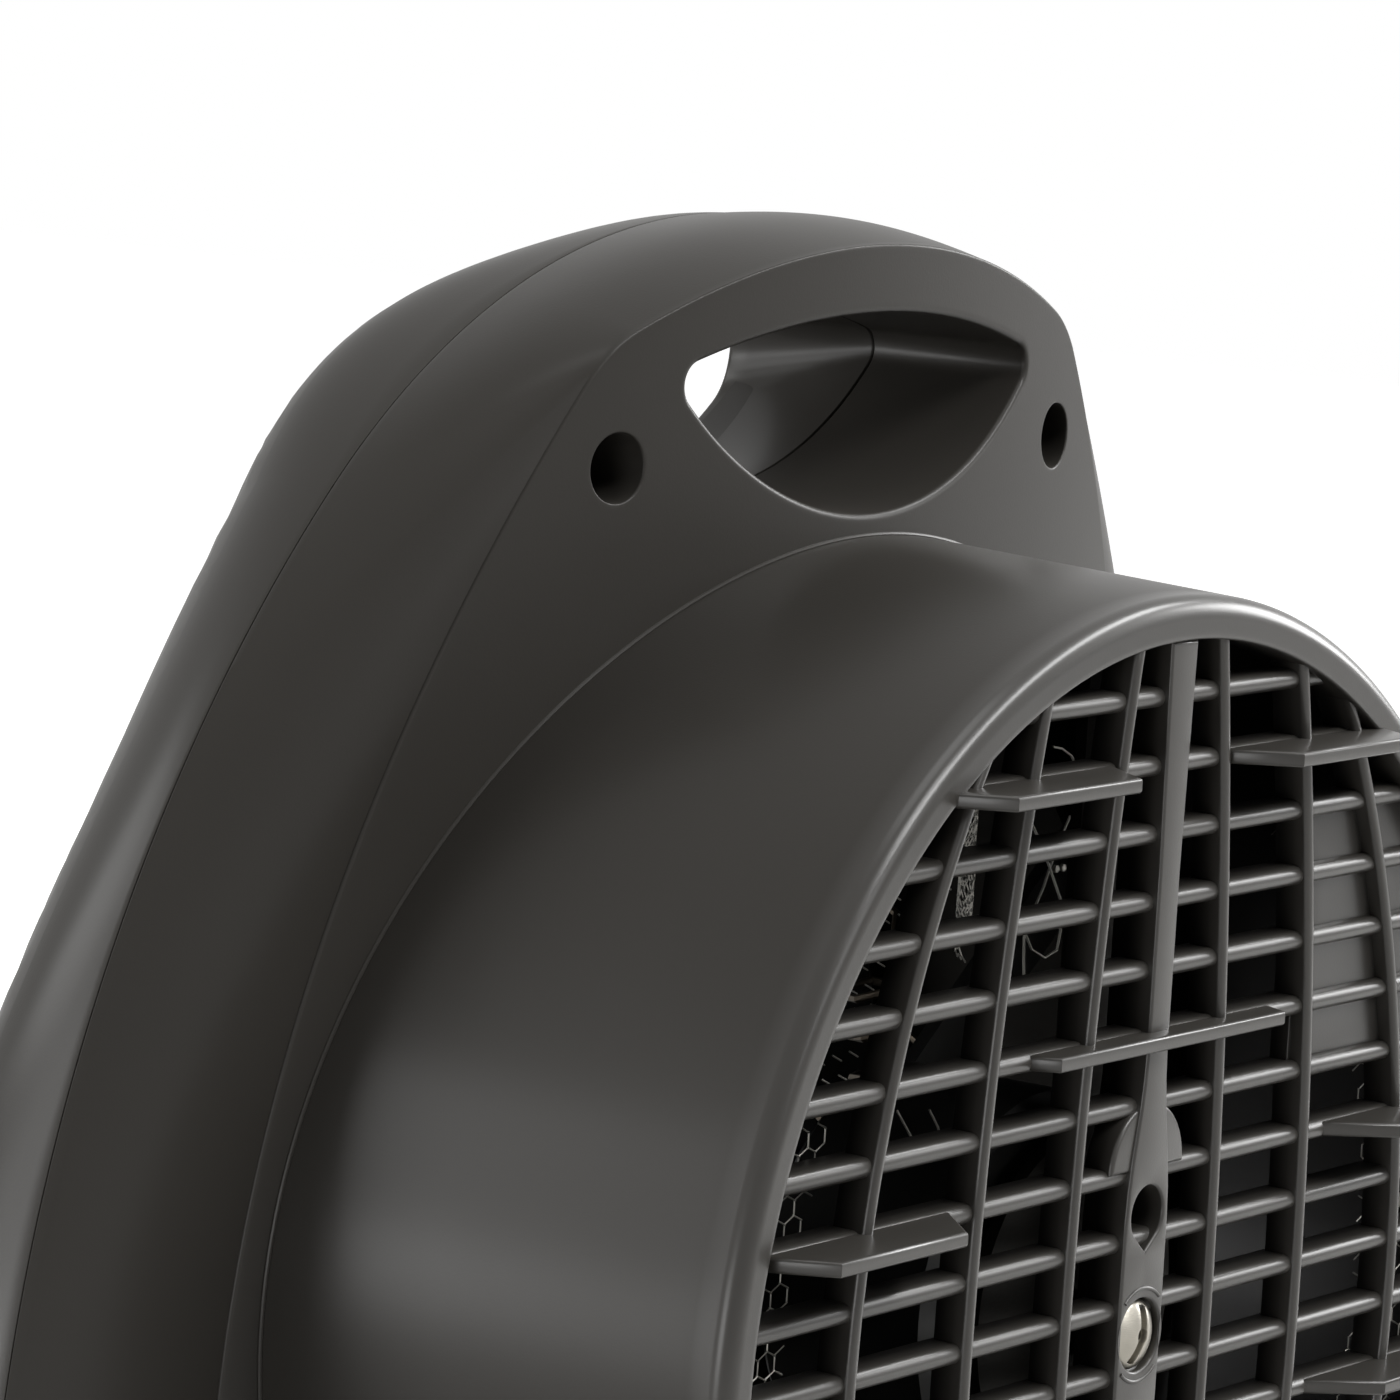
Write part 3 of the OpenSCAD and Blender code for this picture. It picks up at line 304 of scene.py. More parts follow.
def add(tree, kind, inputs=None, **settings):
    """Adds a node with its settings; inputs maps socket names or numbers to values or to outputs."""
    made = tree.nodes.new(kind)
    for name, value in settings.items():
        setattr(made, name, value)
    for name, value in (inputs or {}).items():
        if isinstance(value, bpy.types.NodeSocket):
            tree.links.new(value, made.inputs[name])
        else:
            made.inputs[name].default_value = value
    return made


def blend(tree, share, first, second):
    """Colour output that goes from the first colour to the second by the share."""
    return add(tree, "ShaderNodeMix", {0: share, 6: first, 7: second}, data_type="RGBA").outputs[2]


def ramp(tree, value, start, end, low=0.0, high=1.0):
    """Output that goes in a straight line from low to high while the value goes from start to end."""
    return add(tree, "ShaderNodeMapRange", {"Value": value, "From Min": start, "From Max": end,
                                            "To Min": low, "To Max": high}).outputs["Result"]


def noise(tree, vector, size_mm, detail):
    """Smooth noise whose waves are about the given size."""
    return add(tree, "ShaderNodeTexNoise", {"Vector": vector, "Scale": 1000 / size_mm,
                                            "Detail": detail}).outputs["Fac"]


def surface(name):
    """New material with its node tree and its Object coordinates."""
    material = bpy.data.materials.new(name)
    material.use_nodes = True
    tree = material.node_tree
    return material, tree, add(tree, "ShaderNodeTexCoord").outputs["Object"]


def feed(tree, base, gloss, height, bump_mm):
    """Feeds the tree's shader with a colour, a roughness and a bump of this depth; gives it back."""
    shader = tree.nodes["Principled BSDF"]
    bump = add(tree, "ShaderNodeBump", {"Height": height, "Strength": 0.6, "Distance": bump_mm / 1000})
    for name, source in (("Base Color", base), ("Roughness", gloss), ("Normal", bump.outputs["Normal"])):
        tree.links.new(source, shader.inputs[name])
    return shader


def moulded(name, dark, light, roughness, grain_mm=0.3, grain=0.02, specular=0.3, cloud_mm=45.0,
            skin=0.0):
    """Moulded thermoplastic: two close shades in slow clouds, a fine spark-eroded grain in the
    bump, a gloss that varies a little with the same clouds, and a share of smoother outer skin."""
    material, tree, place = surface(name)
    clouds = noise(tree, place, cloud_mm, 3.0)
    shader = feed(tree, blend(tree, clouds, colour(dark), colour(light)),
                  ramp(tree, clouds, 0.3, 0.7, roughness - 0.03, roughness + 0.03),
                  noise(tree, place, grain_mm, 2.0), grain)
    shader.inputs["IOR"].default_value = 1.5
    shader.inputs["Specular IOR Level"].default_value = specular
    shader.inputs["Coat Weight"].default_value = skin
    shader.inputs["Coat Roughness"].default_value = 0.25
    return material


def piece(name, parts, material, body, stands_for=(), sharp=38):
    """One mesh from parts of points in millimetres and faces: points that meet are welded and
    faces are turned outwards."""
    points, faces, start = [], [], 0
    for part_points, part_faces in parts:
        points.append(part_points)
        faces += [[i + start for i in face] for face in part_faces]
        start += len(part_points)
    mesh = bpy.data.meshes.new(name)
    mesh.from_pydata((np.concatenate(points) * 0.001).tolist(), [], faces)
    net = bmesh.new()
    net.from_mesh(mesh)
    bmesh.ops.remove_doubles(net, verts=net.verts, dist=3e-6)
    bmesh.ops.recalc_face_normals(net, faces=net.faces)
    net.to_mesh(mesh)
    net.free()
    mesh.shade_smooth()
    mesh.set_sharp_from_angle(angle=math.radians(sharp))
    made = bpy.data.objects.new(name, mesh)
    scene.collection.objects.link(made)
    mesh.materials.append(material)
    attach(made, body)
    if stands_for:
        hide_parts(*stands_for)


rear_plastic = moulded("rear_moulded_abs", "#2d2b28", "#302e2b", 0.42, specular=0.08, skin=0.16)
crease = curve_in(plate_ring(CREASE), plate_ring(0.0), plate_ring(0.0) - (0, CREASE, 0), 9)
outer = [plate_ring(CREASE + 0.5), *crease, *[rear_ring(t) for t in np.linspace(0, 1, 30)[1:-1]]]
outer += [rear_ring(1.0, drawn) + (0, raised, 0) for drawn, raised in (*SEAM_ROUND, *TONGUE)]
inner = [rear_ring(t, WALL) for t in np.linspace(1, 0, 12)]


def rear_face(flat):
    """Height of the back plate at flat points."""
    return plate_at(flat[:, 0])


rear_holes = [
    (lens, [(LENS_EDGE + 0.4, 0.0), *rounded(LENS_EDGE, 7), (0.0, ("y", REAR_SEAM_Y + 0.2)),
            (0.2, ("y", REAR_SEAM_Y)), (LENS_WALL, ("y", REAR_SEAM_Y))]),
    (lambda grow: circle(0, DRUM_Z, DRUM_HOLE + grow, 240), [(0.0, 0.0)]),
    (lambda grow: circle(0, GLAND_Z, GLAND_HOLE + grow), [(0.7, 0.0), *rounded(0.3)]),
]
narrow = SCREW_HOLE - RECESS_RADIUS
for rx, rz in RECESSES:
    rear_holes.append((
        lambda grow, rx=rx, rz=rz: circle(rx, rz, RECESS_RADIUS + grow),
        [(0.6, 0.0), *rounded(0.25), (0.0, ("y", RECESS_FLOOR_Y)), (narrow, ("y", RECESS_FLOOR_Y)),
         (narrow, ("y", REAR_SEAM_Y)), (BOSS_WALL, ("y", REAR_SEAM_Y))]))
mouths = [at(steps[0][0]) for at, steps in rear_holes]
inner_mouths = [at(steps[-1][0]) for at, steps in rear_holes]
outer_net = lift(fill([plate_ring(CREASE + 0.5)[:, [0, 2]], *mouths], OUTER_SPACING), rear_face)
inner_net = lift(fill([inner[-1][:, [0, 2]], *inner_mouths], INNER_SPACING), rear_face, -WALL)
hole_walls = [hole(at, steps + [(steps[-1][0], WALL)], rear_face) for at, steps in rear_holes]
piece("rear_shell_moulding", [strip(outer + inner), outer_net, inner_net, *hole_walls],
      rear_plastic, "casing", ["rear_shell"])


# Front shell. The matching front moulding: a rounded edge all round, fuller at the two shoulders
# and down the sides, then a flat face with the outlet, the handle opening and the holes of the controls.
EDGE_ROUND = 22.6
EDGE_DEPTH = 22.7
SHOULDER_FULL = 2.2
SHOULDER_AT = 31.0
SHOULDER_SPREAD = 13.0
SIDE_FULL = 1.7
SIDE_FROM = 54.5
SIDE_SPREAD = 20.0
FRONT_FACE_Y = FRONT_SEAM_Y - EDGE_DEPTH
OUTLET_RADIUS = 78.0
KNOB_X = 48.0
KNOB_Z = 44.0
BUSH_RADIUS = 4.7
LAMP_RADIUS = 3.3
FIRST_TURN = 30.0
MOUTH_TIP = 6.0
MOUTH_GROWN = 1.5
MOUTH_DROP = 1.6
seam_x, seam_z = outline(SEAM_ARCS, CASING_TOP)
seam_half = np.stack([seam_x, seam_z], axis=-1)
seam_from = np.concatenate([seam_half[:-1], seam_half[:-1] * (-1, 1)])
seam_to = np.concatenate([seam_half[1:], seam_half[1:] * (-1, 1)])
seam_turns = np.concatenate([turns[:-1], turns[:-1]])


def front_ring(inset, y):
    """Closed ring of the front shell drawn in from the seam's outline by the inset."""
    x, z = outline(SEAM_ARCS, CASING_TOP, inset)
    return closed_loop(x, np.full_like(x, y), z, lambda fx: np.full_like(fx, y))


def edge_power(angles):
    """Power of the edge's section at tangent angles: 1 is a quarter circle and less is fuller."""
    away = (np.degrees(angles) - SHOULDER_AT) / SHOULDER_SPREAD
    down = np.clip((np.degrees(angles) - SIDE_FROM) / SIDE_SPREAD, 0, 1)
    return 2 / (2 + SHOULDER_FULL * np.exp(-away ** 2) + SIDE_FULL * down ** 2)


def edge_ring(degrees, wall=0.0):
    """Closed ring on the rounded edge: drawn in by w + r (1 - cos^p a) and forward by d sin^p a,
    with r and d the edge's radius and depth less the wall and p its power. The last ring's foot
    runs along the front face."""
    a = math.radians(degrees)
    power = edge_power(turns)
    drawn = wall + (EDGE_ROUND - wall) * (1 - max(math.cos(a), 0) ** power)
    x, z = outline(SEAM_ARCS, CASING_TOP, drawn)
    y = FRONT_SEAM_Y - (EDGE_DEPTH - wall) * math.sin(a) ** power
    if degrees < FIRST_TURN:
        return closed_loop(x, y, z, lambda fx: np.full_like(fx, y[-1]))
    return closed_loop(x, y, z, lambda fx: front_depth(np.insert(fx[:, None], 1, CASING_FOOT, axis=1), wall))


def front_depth(flat, wall=0.0):
    """Height y of the front shell at flat points: the edge's section solved for the distance to the
    seam's outline, and flat farther in."""
    gap, nearest = to_edges(flat, seam_from, seam_to)
    power = edge_power(seam_turns[nearest])
    across = np.clip((EDGE_ROUND - gap) / (EDGE_ROUND - wall), 0, 1) ** (2 / power)
    return FRONT_SEAM_Y - (EDGE_DEPTH - wall) * (1 - across) ** (power / 2)


def front_net(first_turn, wall, hole_loops, spacing):
    """Net of the front's face with rows of points that follow the rounded edge."""
    rows = [edge_ring(a, wall)[::2, [0, 2]] for a in np.arange(first_turn + 4, 90, 4)]
    rows += [front_ring(EDGE_ROUND + d, 0)[::4, [0, 2]] for d in np.arange(0, 70, spacing)]
    first = edge_ring(first_turn, wall)
    points, faces = lift(fill([first[:, [0, 2]], *hole_loops], 1.2, np.concatenate(rows)),
                         lambda flat: front_depth(flat, wall))
    points[:len(first)] = first
    return points, faces


front_plastic = moulded("front_moulded_abs", "#2f2d2a", "#32302d", 0.42, specular=0.08, skin=0.2)
front_sides = [edge_ring(a) for a in (1, 2, 3.5, 5, 8, *np.arange(11, FIRST_TURN, 3), FIRST_TURN)]
front_inner = [front_ring(WALL, FRONT_SEAM_Y - 1.45)]
front_inner += [edge_ring(a, WALL) for a in (8, 14, 20, 25, FIRST_TURN)]
front_seam = [front_ring(d, FRONT_SEAM_Y - h) for d, h in
              ((0.95, 1.45), (0.95, 0.0), (0.15, 0.0), (0.04, 0.04), (0.0, 0.15))]


def mouth(grow):
    """Outline of the handle opening at its front mouth, a little larger and lower than at the seam."""
    return lens(grow + MOUTH_GROWN, MOUTH_TIP) - np.array([0, MOUTH_DROP])


front_holes = [(mouth, [(LENS_EDGE + 0.4, 0.0), *rounded(LENS_EDGE, 6)])]
for spot in ((0, DRUM_Z, OUTLET_RADIUS, 200), (KNOB_X, KNOB_Z, BUSH_RADIUS, 72),
             (-KNOB_X, KNOB_Z, BUSH_RADIUS, 72), (0, KNOB_Z, LAMP_RADIUS, 72)):
    front_holes.append((lambda grow, spot=spot: circle(*spot[:2], spot[2] + grow, spot[3]),
                        [(1.0, 0.0), (0.0, 0.0)]))
outer_loops = [at(steps[0][0]) for at, steps in front_holes]
inner_loops = []
front_walls = []
for at, steps in front_holes:
    rings = []
    for grow, depth in steps:
        flat = at(grow)
        rings.append(stand(flat, front_depth(flat) + depth))
    if at is mouth:
        brink = rings[-1]
        for t in np.linspace(0, 1, 9)[1:]:
            flat = brink[:, [0, 2]] * (1 - t) + lens(0.0) * t
            rings.append(stand(flat, brink[:, 1] + (FRONT_SEAM_Y - 0.2 - brink[:, 1]) * t))
        rings += [stand(lens(grow), FRONT_SEAM_Y) for grow in (0.2, LENS_WALL)]
    last = rings[-1][:, [0, 2]]
    inner_loops.append(last)
    rings.append(stand(last, front_depth(last, WALL)))
    front_walls.append(strip(rings))
piece("front_shell_moulding",
      [strip(front_inner[::-1] + front_seam + front_sides), *front_walls,
       front_net(FIRST_TURN, 0.0, outer_loops, 6.0), front_net(FIRST_TURN, WALL, inner_loops, 9.0)],
      front_plastic, "casing", ["front_shell"])


# Drum. A short round duct moulded with its grille: straight inside the casing, then tapering
# through the back plate to a rim with a rounded outer edge and a flat face. Its colour has painted
# shade inside the grille and painted light on the crowns.
DRUM_RADIUS = 93.1
RIM_RADIUS = 90.0
RIM_INNER = 84.6
RIM_ROUND = 2.6
RIM_Y = 51.9
DRUM_FRONT_Y = -20.0
DRUM_WALL = 2.2
STRAIGHT_Y = -13.0
BAR_Y = 45.9
CROWN_Y = 50.5
RIB_Y = 51.3
TAPER = 0.048
# Painted shade on the drum's inner wall and the grille's deep faces, painted light on the crowns.
DEEP_PAINTED_SHADE = ("#11100f", (0.0915, 0.0907), (0.0500, 0.0470))
CROWN_PAINTED_LIGHT = ("#34322f", (0.0875, 0.0865), (0.0490, 0.0503))
POLISH_AT = (0.0465, 0.0495)
POLISH = (0.2, 0.6)


def turned(profile, x, z, count=64, closed=False):
    """Solid turned about an axis along y through (x, z) from a profile of (radius, y): the point at
    angle a is (x + r sin a, y, z + r cos a). Zero radii close into poles."""
    profile = np.asarray(profile, float)
    if closed:
        profile = np.concatenate([profile, profile[:1]])
    a = np.arange(count) / count * 2 * math.pi
    rings = np.stack([x + profile[:, :1] * np.sin(a), np.broadcast_to(profile[:, 1:], (len(profile), count)),
                      z + profile[:, :1] * np.cos(a)], axis=-1)
    return strip(rings)


def corner(centre_r, centre_y, radius, start, end, steps=7):
    """Profile points of a rounded corner: (cr + r cos t, cy + r sin t) for t in degrees."""
    t = np.radians(np.linspace(start, end, steps))
    return np.stack([centre_r + radius * np.cos(t), centre_y + radius * np.sin(t)], axis=-1).tolist()


drum_plastic = moulded("drum_moulded_abs", "#2f2d2a", "#32302d", 0.42, specular=0.08, skin=0.2)


def paint_light_and_shade_by_depth(material):
    """Painted shade inside, painted light on the crowns and polished towards the rim: the first two follow
    the depth y and the distance from the drum's axis plus TAPER y, which is the same all along the
    tapered outer wall, and the last follows the depth alone. All are in metres."""
    tree = material.node_tree
    shader = tree.nodes["Principled BSDF"]
    plain = shader.inputs["Base Color"].links[0].from_socket
    place = add(tree, "ShaderNodeTexCoord").outputs["Object"]
    depth = add(tree, "ShaderNodeSeparateXYZ", {0: place}).outputs["Y"]
    flat = add(tree, "ShaderNodeVectorMath", {0: place, 1: (1.0, 0.0, 1.0)}, operation="MULTIPLY")
    out = add(tree, "ShaderNodeVectorMath", {0: flat.outputs[0], 1: (0.0, 0.0, DRUM_Z / 1000)},
              operation="DISTANCE")
    out = add(tree, "ShaderNodeMath", {0: depth, 1: TAPER, 2: out.outputs["Value"]}, operation="MULTIPLY_ADD")
    # Blends in the painted shade, then the painted light on the crowns.
    for shade, inwards, backwards in (DEEP_PAINTED_SHADE, CROWN_PAINTED_LIGHT):
        share = add(tree, "ShaderNodeMath", {0: ramp(tree, out.outputs[0], *inwards),
                                             1: ramp(tree, depth, *backwards)}, operation="MULTIPLY")
        plain = blend(tree, share.outputs[0], plain, colour(shade))
    tree.links.new(plain, shader.inputs["Base Color"])
    tree.links.new(ramp(tree, depth, *POLISH_AT, *POLISH), shader.inputs["Coat Weight"])


paint_light_and_shade_by_depth(drum_plastic)
drum_profile = [
    *corner(RIM_INNER + 0.4, RIM_Y - 0.4, 0.4, 180, 90, 4), (RIM_INNER + 0.9, RIM_Y),
    (RIM_RADIUS - RIM_ROUND - 0.3, RIM_Y),
    *corner(RIM_RADIUS - RIM_ROUND, RIM_Y - RIM_ROUND, RIM_ROUND, 90, 2.5, 9),
    *[(RIM_RADIUS + (DRUM_RADIUS - RIM_RADIUS) * t, RIM_Y - RIM_ROUND + (STRAIGHT_Y - RIM_Y + RIM_ROUND) * t)
      for t in np.linspace(0.05, 1, 12)],
    (DRUM_RADIUS, STRAIGHT_Y - 2), (DRUM_RADIUS, DRUM_FRONT_Y), (DRUM_RADIUS - DRUM_WALL, DRUM_FRONT_Y),
    (DRUM_RADIUS - DRUM_WALL, STRAIGHT_Y), (RIM_RADIUS - DRUM_WALL, BAR_Y - 4), (RIM_INNER, BAR_Y - 1)]
piece("drum_shell", [turned(drum_profile, 0, DRUM_Z, 256, True)], drum_plastic, "casing",
      ["drum_grille"], sharp=32)


# Grille. Horizontal bars with half-round crowns, curved upright ribs that stand a little higher,
# a centre bar, stand-off fins and one blank panel, all moulded in one with the drum.
BAR_PITCH = 8.5
BAR_COUNT = 19
BAR_HEIGHT = 2.5
BAR_MID_Z = 154.05
RIB_THICK = 1.9
RIB_MID_Z = 149.8
RIBS = ((16.6, 560), (38.4, 394), (63, 151))
FIN_THICK = 1.9
RIB_ROUND = 0.85
FIN_ROUND = 0.45
SIDE_FINS = ((RIM_INNER * 0.6, 13, 46, 19, 8, 7.5), (RIM_INNER * 0.965, 43, 77, 51, 2, 7.5))
MIDDLE_FIN = (28, -28, 26, -26, 4, 3.2)
CENTRE_BAR = ((84.5, 3.0), (56, 2.3), (34, 2.3), (30, 2.5), (26, 3.0), (20, 4.1), (16, 4.6),
              (12, 4.85), (0, 4.95))
LIP_REACH = 5.9
LIP_BEAD = 0.28
LIP_TURN = 0.72
PANEL_EDGE_X = -35.5
PANEL_BARS = (3, 7)
HALF_DISC_RADIUS = 8.4
HALF_DISC_Z = 171.6
EYELET_RADIUS = 3.6
SEAT_RADIUS = 4.65
SEAT_DROP = 1.3
SHANK_HOLE = 2.1
EYELET_Z = 166.0
SCREW_Z = 150.7


def offset(loop, distance):
    """Loop drawn in by a distance: each point moves along the mitre (n1 + n2) / (1 + n1.n2) of the
    inward normals of its two edges."""
    ahead = np.roll(loop, -1, axis=0) - loop
    area = (loop[:, 0] * np.roll(loop[:, 1], -1) - loop[:, 1] * np.roll(loop[:, 0], -1)).sum()
    normal = np.stack([-ahead[:, 1], ahead[:, 0]], axis=-1) * math.copysign(1, area)
    normal /= np.linalg.norm(normal, axis=1, keepdims=True)
    before = np.roll(normal, 1, axis=0)
    mitre = (normal + before) / np.maximum(1 + (normal * before).sum(axis=1, keepdims=True), 0.2)
    return loop + distance * mitre


def level(loop, height):
    """A flat loop set at a height, given as its third coordinate."""
    return np.insert(loop, 2, height, axis=1)


def slab(outer, holes, low, high, fillet, low_fillet=0.0, axes=(0, 2, 1), spacing=6.0):
    """Flat plate between two heights with rounded edges: the outline drawn in by f (1 - cos a) at
    the height high - f (1 - sin a), and its holes likewise drawn out. The axes say where the
    outline's two coordinates and the height go."""
    def rings(loop, way):
        made = []
        for height, turn_way, radius in ((low, -1, low_fillet), (high, 1, fillet)):
            steps = np.linspace(0, math.pi / 2, 5) if radius else np.zeros(1)
            part = [(offset(loop, way * radius * (1 - math.cos(a))),
                     height - turn_way * radius * (1 - math.sin(a))) for a in steps]
            made += part[::-1] if turn_way < 0 else part
        return made
    groups = [rings(outer, 1)] + [rings(h, -1) for h in holes]
    parts = [strip([level(flat, height) for flat, height in group]) for group in groups]
    for end in (0, -1):
        flat, faces = fill([group[end][0] for group in groups], spacing)
        parts.append((level(flat, groups[0][end][1]), faces))
    order = np.argsort(axes)
    return [(points[:, order], faces) for points, faces in parts]


def bar(k):
    """One bar from wall to wall: its section is a half-round crown on a straight body."""
    z = BAR_MID_Z + k * BAR_PITCH
    reach = math.sqrt((RIM_INNER + 1.0) ** 2 - (z - DRUM_Z) ** 2)
    r = BAR_HEIGHT / 2
    t = np.radians(np.linspace(90, -90, 13))
    y = np.concatenate([[BAR_Y], CROWN_Y - r + r * np.cos(t), [BAR_Y]])
    up_z = z + np.concatenate([[r], r * np.sin(t), [-r]])
    rings = np.stack([np.stack([np.full_like(y, x), y, up_z], axis=-1) for x in (-reach, reach)])
    points, faces = strip(rings)
    count = len(y)
    return points, faces + [list(range(count)), list(range(count, 2 * count))]


def rib(x, radius, side):
    """One curved rib as an outline: an arc of the given radius through x at its middle height, up to
    the drum's wall, RIB_THICK wide."""
    centre = x - radius
    a = np.linspace(-math.pi / 2, math.pi / 2, 20001)
    px, pz = centre + radius * np.cos(a), RIB_MID_Z - DRUM_Z + radius * np.sin(a)
    within = a[px * px + pz * pz < (RIM_INNER + 0.8) ** 2]
    a = np.linspace(within[0], within[-1], 60)
    edges = [np.stack([centre + reach * np.cos(a), RIB_MID_Z + reach * np.sin(a)], axis=-1)
             for reach in (radius + RIB_THICK / 2, radius - RIB_THICK / 2)]
    return np.concatenate([edges[0], edges[1][::-1]]) * (side, 1.0)


def fin(root0, root1, tip0, tip1, k, reach, side, up_down):
    """Stand-off fin as a flat plate on the bar that is k above or below the middle one: root on the
    bars, sloping ends, straight tip. The side mirrors it."""
    z = BAR_MID_Z + k * up_down * BAR_PITCH
    loop = np.array([(root0, BAR_Y), (root0, CROWN_Y - 0.5), (tip0, CROWN_Y + reach), (tip1, CROWN_Y + reach),
                     (root1, CROWN_Y - 0.5), (root1, BAR_Y)]) * (side, 1.0)
    return slab(loop, [], z - FIN_THICK / 2, z + FIN_THICK / 2, FIN_ROUND, FIN_ROUND, (0, 1, 2), 30.0)


def centre_outline():
    """Centre bar's outline: a tapering strip, its half width given at distances from its middle."""
    given = np.array(CENTRE_BAR)[::-1]
    z = np.linspace(-given[-1, 0], given[-1, 0], 500)
    half = np.interp(np.abs(z), given[:, 0], given[:, 1])
    z = z + DRUM_Z
    return np.concatenate([np.stack([half, z], axis=-1), np.stack([-half, z], axis=-1)[::-1]])


def eyelet():
    """Round hole that ends in a blunt point at its foot."""
    a = np.linspace(-math.pi + 0.8, math.pi - 0.8, 48)
    loop = np.stack([EYELET_RADIUS * np.sin(a), EYELET_Z + EYELET_RADIUS * np.cos(a)], axis=-1)
    return np.concatenate([loop, [(0.0, EYELET_Z - 1.3 * EYELET_RADIUS)]])


def seat_lip(side):
    """Thin raised arc beside the screw's seat, as wide as the bar: a half-round bead on a circle."""
    a = np.linspace(-LIP_TURN, LIP_TURN, 24)[:, None] + (0 if side > 0 else math.pi)
    section = np.linspace(0, math.pi, 7)
    radius = LIP_REACH + LIP_BEAD * np.cos(section)
    y = np.broadcast_to(RIB_Y - 0.08 + LIP_BEAD * np.sin(section), (24, 7))
    rings = np.stack([radius * np.sin(a), y, SCREW_Z + radius * np.cos(a)], axis=-1)
    points, faces = strip(rings)
    return points, faces + [list(range(7)), list(range(len(points) - 7, len(points)))]


bar_numbers = range(-(BAR_COUNT - 1) // 2, (BAR_COUNT - 1) // 2 + 1)
bars = [bar(k) for k in bar_numbers if abs(BAR_MID_Z - DRUM_Z + k * BAR_PITCH) < RIM_INNER - BAR_HEIGHT]
piece("grille_bars", bars, drum_plastic, "casing", ["drum_grille"])
rib_parts = []
for x, radius in RIBS:
    for side in (1, -1):
        rib_parts += slab(rib(x, radius, side), [], BAR_Y + 0.6, RIB_Y, RIB_ROUND)
piece("grille_ribs", rib_parts, drum_plastic, "casing", ["drum_grille"])
centre_parts = slab(centre_outline(), [eyelet(), circle(0, SCREW_Z, SEAT_RADIUS, 48)],
                    BAR_Y - 1.0, RIB_Y, 0.4)
seat_edge = SEAT_RADIUS + 0.02
centre_parts.append(turned([(SHANK_HOLE, BAR_Y - 0.9), (SHANK_HOLE, RIB_Y - SEAT_DROP),
                            (seat_edge, RIB_Y - SEAT_DROP), (seat_edge, BAR_Y - 0.9)], 0, SCREW_Z, 48, True))
half_disc = np.array([(HALF_DISC_RADIUS * math.cos(a), HALF_DISC_Z + HALF_DISC_RADIUS * math.sin(a))
                      for a in np.linspace(0, math.pi, 40)])
centre_parts += slab(half_disc, [], BAR_Y + 1.0, RIB_Y - 0.45, 0.6)
centre_parts += [seat_lip(1), seat_lip(-1)]
piece("grille_centre_bar", centre_parts, drum_plastic, "casing", ["drum_grille"])
fin_parts = []
for up_down in (1, -1):
    for side in (1, -1):
        for sizes in SIDE_FINS:
            fin_parts += fin(*sizes, side, up_down)
    fin_parts += fin(*MIDDLE_FIN, 1, up_down)
piece("grille_fins", fin_parts, drum_plastic, "casing", ["drum_grille"])
panel_edge = np.linspace(*(BAR_MID_Z + k * BAR_PITCH for k in PANEL_BARS), 24)
panel_reach = np.sqrt((RIM_INNER + 0.6) ** 2 - (panel_edge - DRUM_Z) ** 2)
panel = np.concatenate([np.stack([-panel_reach, panel_edge], axis=-1),
                        [(PANEL_EDGE_X, panel_edge[-1]), (PANEL_EDGE_X, panel_edge[0])]])
piece("grille_panel", slab(panel, [], BAR_Y + 0.4, CROWN_Y - 1.6, 0.15), drum_plastic,
      "casing", ["drum_grille"])


# Joint of drum and back plate. The drum passes through the plate with its own thin bead of
# plastic lying on the plate, which catches the light as a fine line.
BEAD_RADIUS = 0.3


def square_to(ahead):
    """Two unit directions square to each direction ahead: the first is ahead crossed with y, or with
    x where ahead runs near y, and the second is ahead crossed with the first."""
    guide = np.where(np.abs(ahead[:, 1:2]) < 0.9, np.array([[0, 1.0, 0]]), np.array([[1.0, 0, 0]]))
    u = np.cross(ahead, guide)
    u /= np.linalg.norm(u, axis=1, keepdims=True)
    return u, np.cross(ahead, u)


def tube(path, radius, sides=8, closed=False):
    """Round wire along a path: at each point a circle r (u cos a + v sin a), with u and v the two
    directions square to the path."""
    path = np.asarray(path, float)
    ahead = np.roll(path, -1, axis=0) - np.roll(path, 1, axis=0)
    if not closed:
        ahead[0] = path[1] - path[0]
        ahead[-1] = path[-1] - path[-2]
    u, v = square_to(ahead / np.linalg.norm(ahead, axis=1, keepdims=True))
    a = np.arange(sides) / sides * 2 * math.pi
    rings = path[:, None] + radius * (u[:, None] * np.cos(a)[:, None] + v[:, None] * np.sin(a)[:, None])
    if closed:
        return strip(np.concatenate([rings, rings[:1]]))
    points, faces = strip(rings)
    return points, faces + [list(range(sides)), list(range(len(points) - sides, len(points)))]


bead_turns = np.arange(240) / 240 * 2 * math.pi
bead_y = plate_at(DRUM_RADIUS * np.sin(bead_turns))
tapered = (bead_y - STRAIGHT_Y) / (RIM_Y - RIM_ROUND - STRAIGHT_Y)
bead_reach = DRUM_RADIUS + 0.1 - (DRUM_RADIUS - RIM_RADIUS) * tapered
bead_path = np.stack([bead_reach * np.sin(bead_turns), bead_y + 0.05,
                      DRUM_Z + bead_reach * np.cos(bead_turns)], axis=-1)
piece("drum_foot_bead", [tube(bead_path, BEAD_RADIUS, 8, True)], drum_plastic, "casing")


# Middle screw. A zinc-plated machine screw with a low domed head, a wide slot and a small
# round centre hole, driven through the centre bar into the motor's strip.
HEAD_RADIUS = 4.3
HEAD_EDGE_Y = 50.4
DOME = 1.5
SLOT_WIDTH = 1.5
SLOT_HALF = 3.75
SLOT_DEPTH = 0.9
SLOT_LEAN = math.radians(15)
SLOT_BRINK = ((0.12, 0.0), (0.03, 0.04), (0.0, 0.14), (0.0, SLOT_DEPTH))
PIN_HOLE = 1.05
PIN_DEPTH = 2.2
SHANK_RADIUS = 2.0
SHANK_END_Y = 37.8


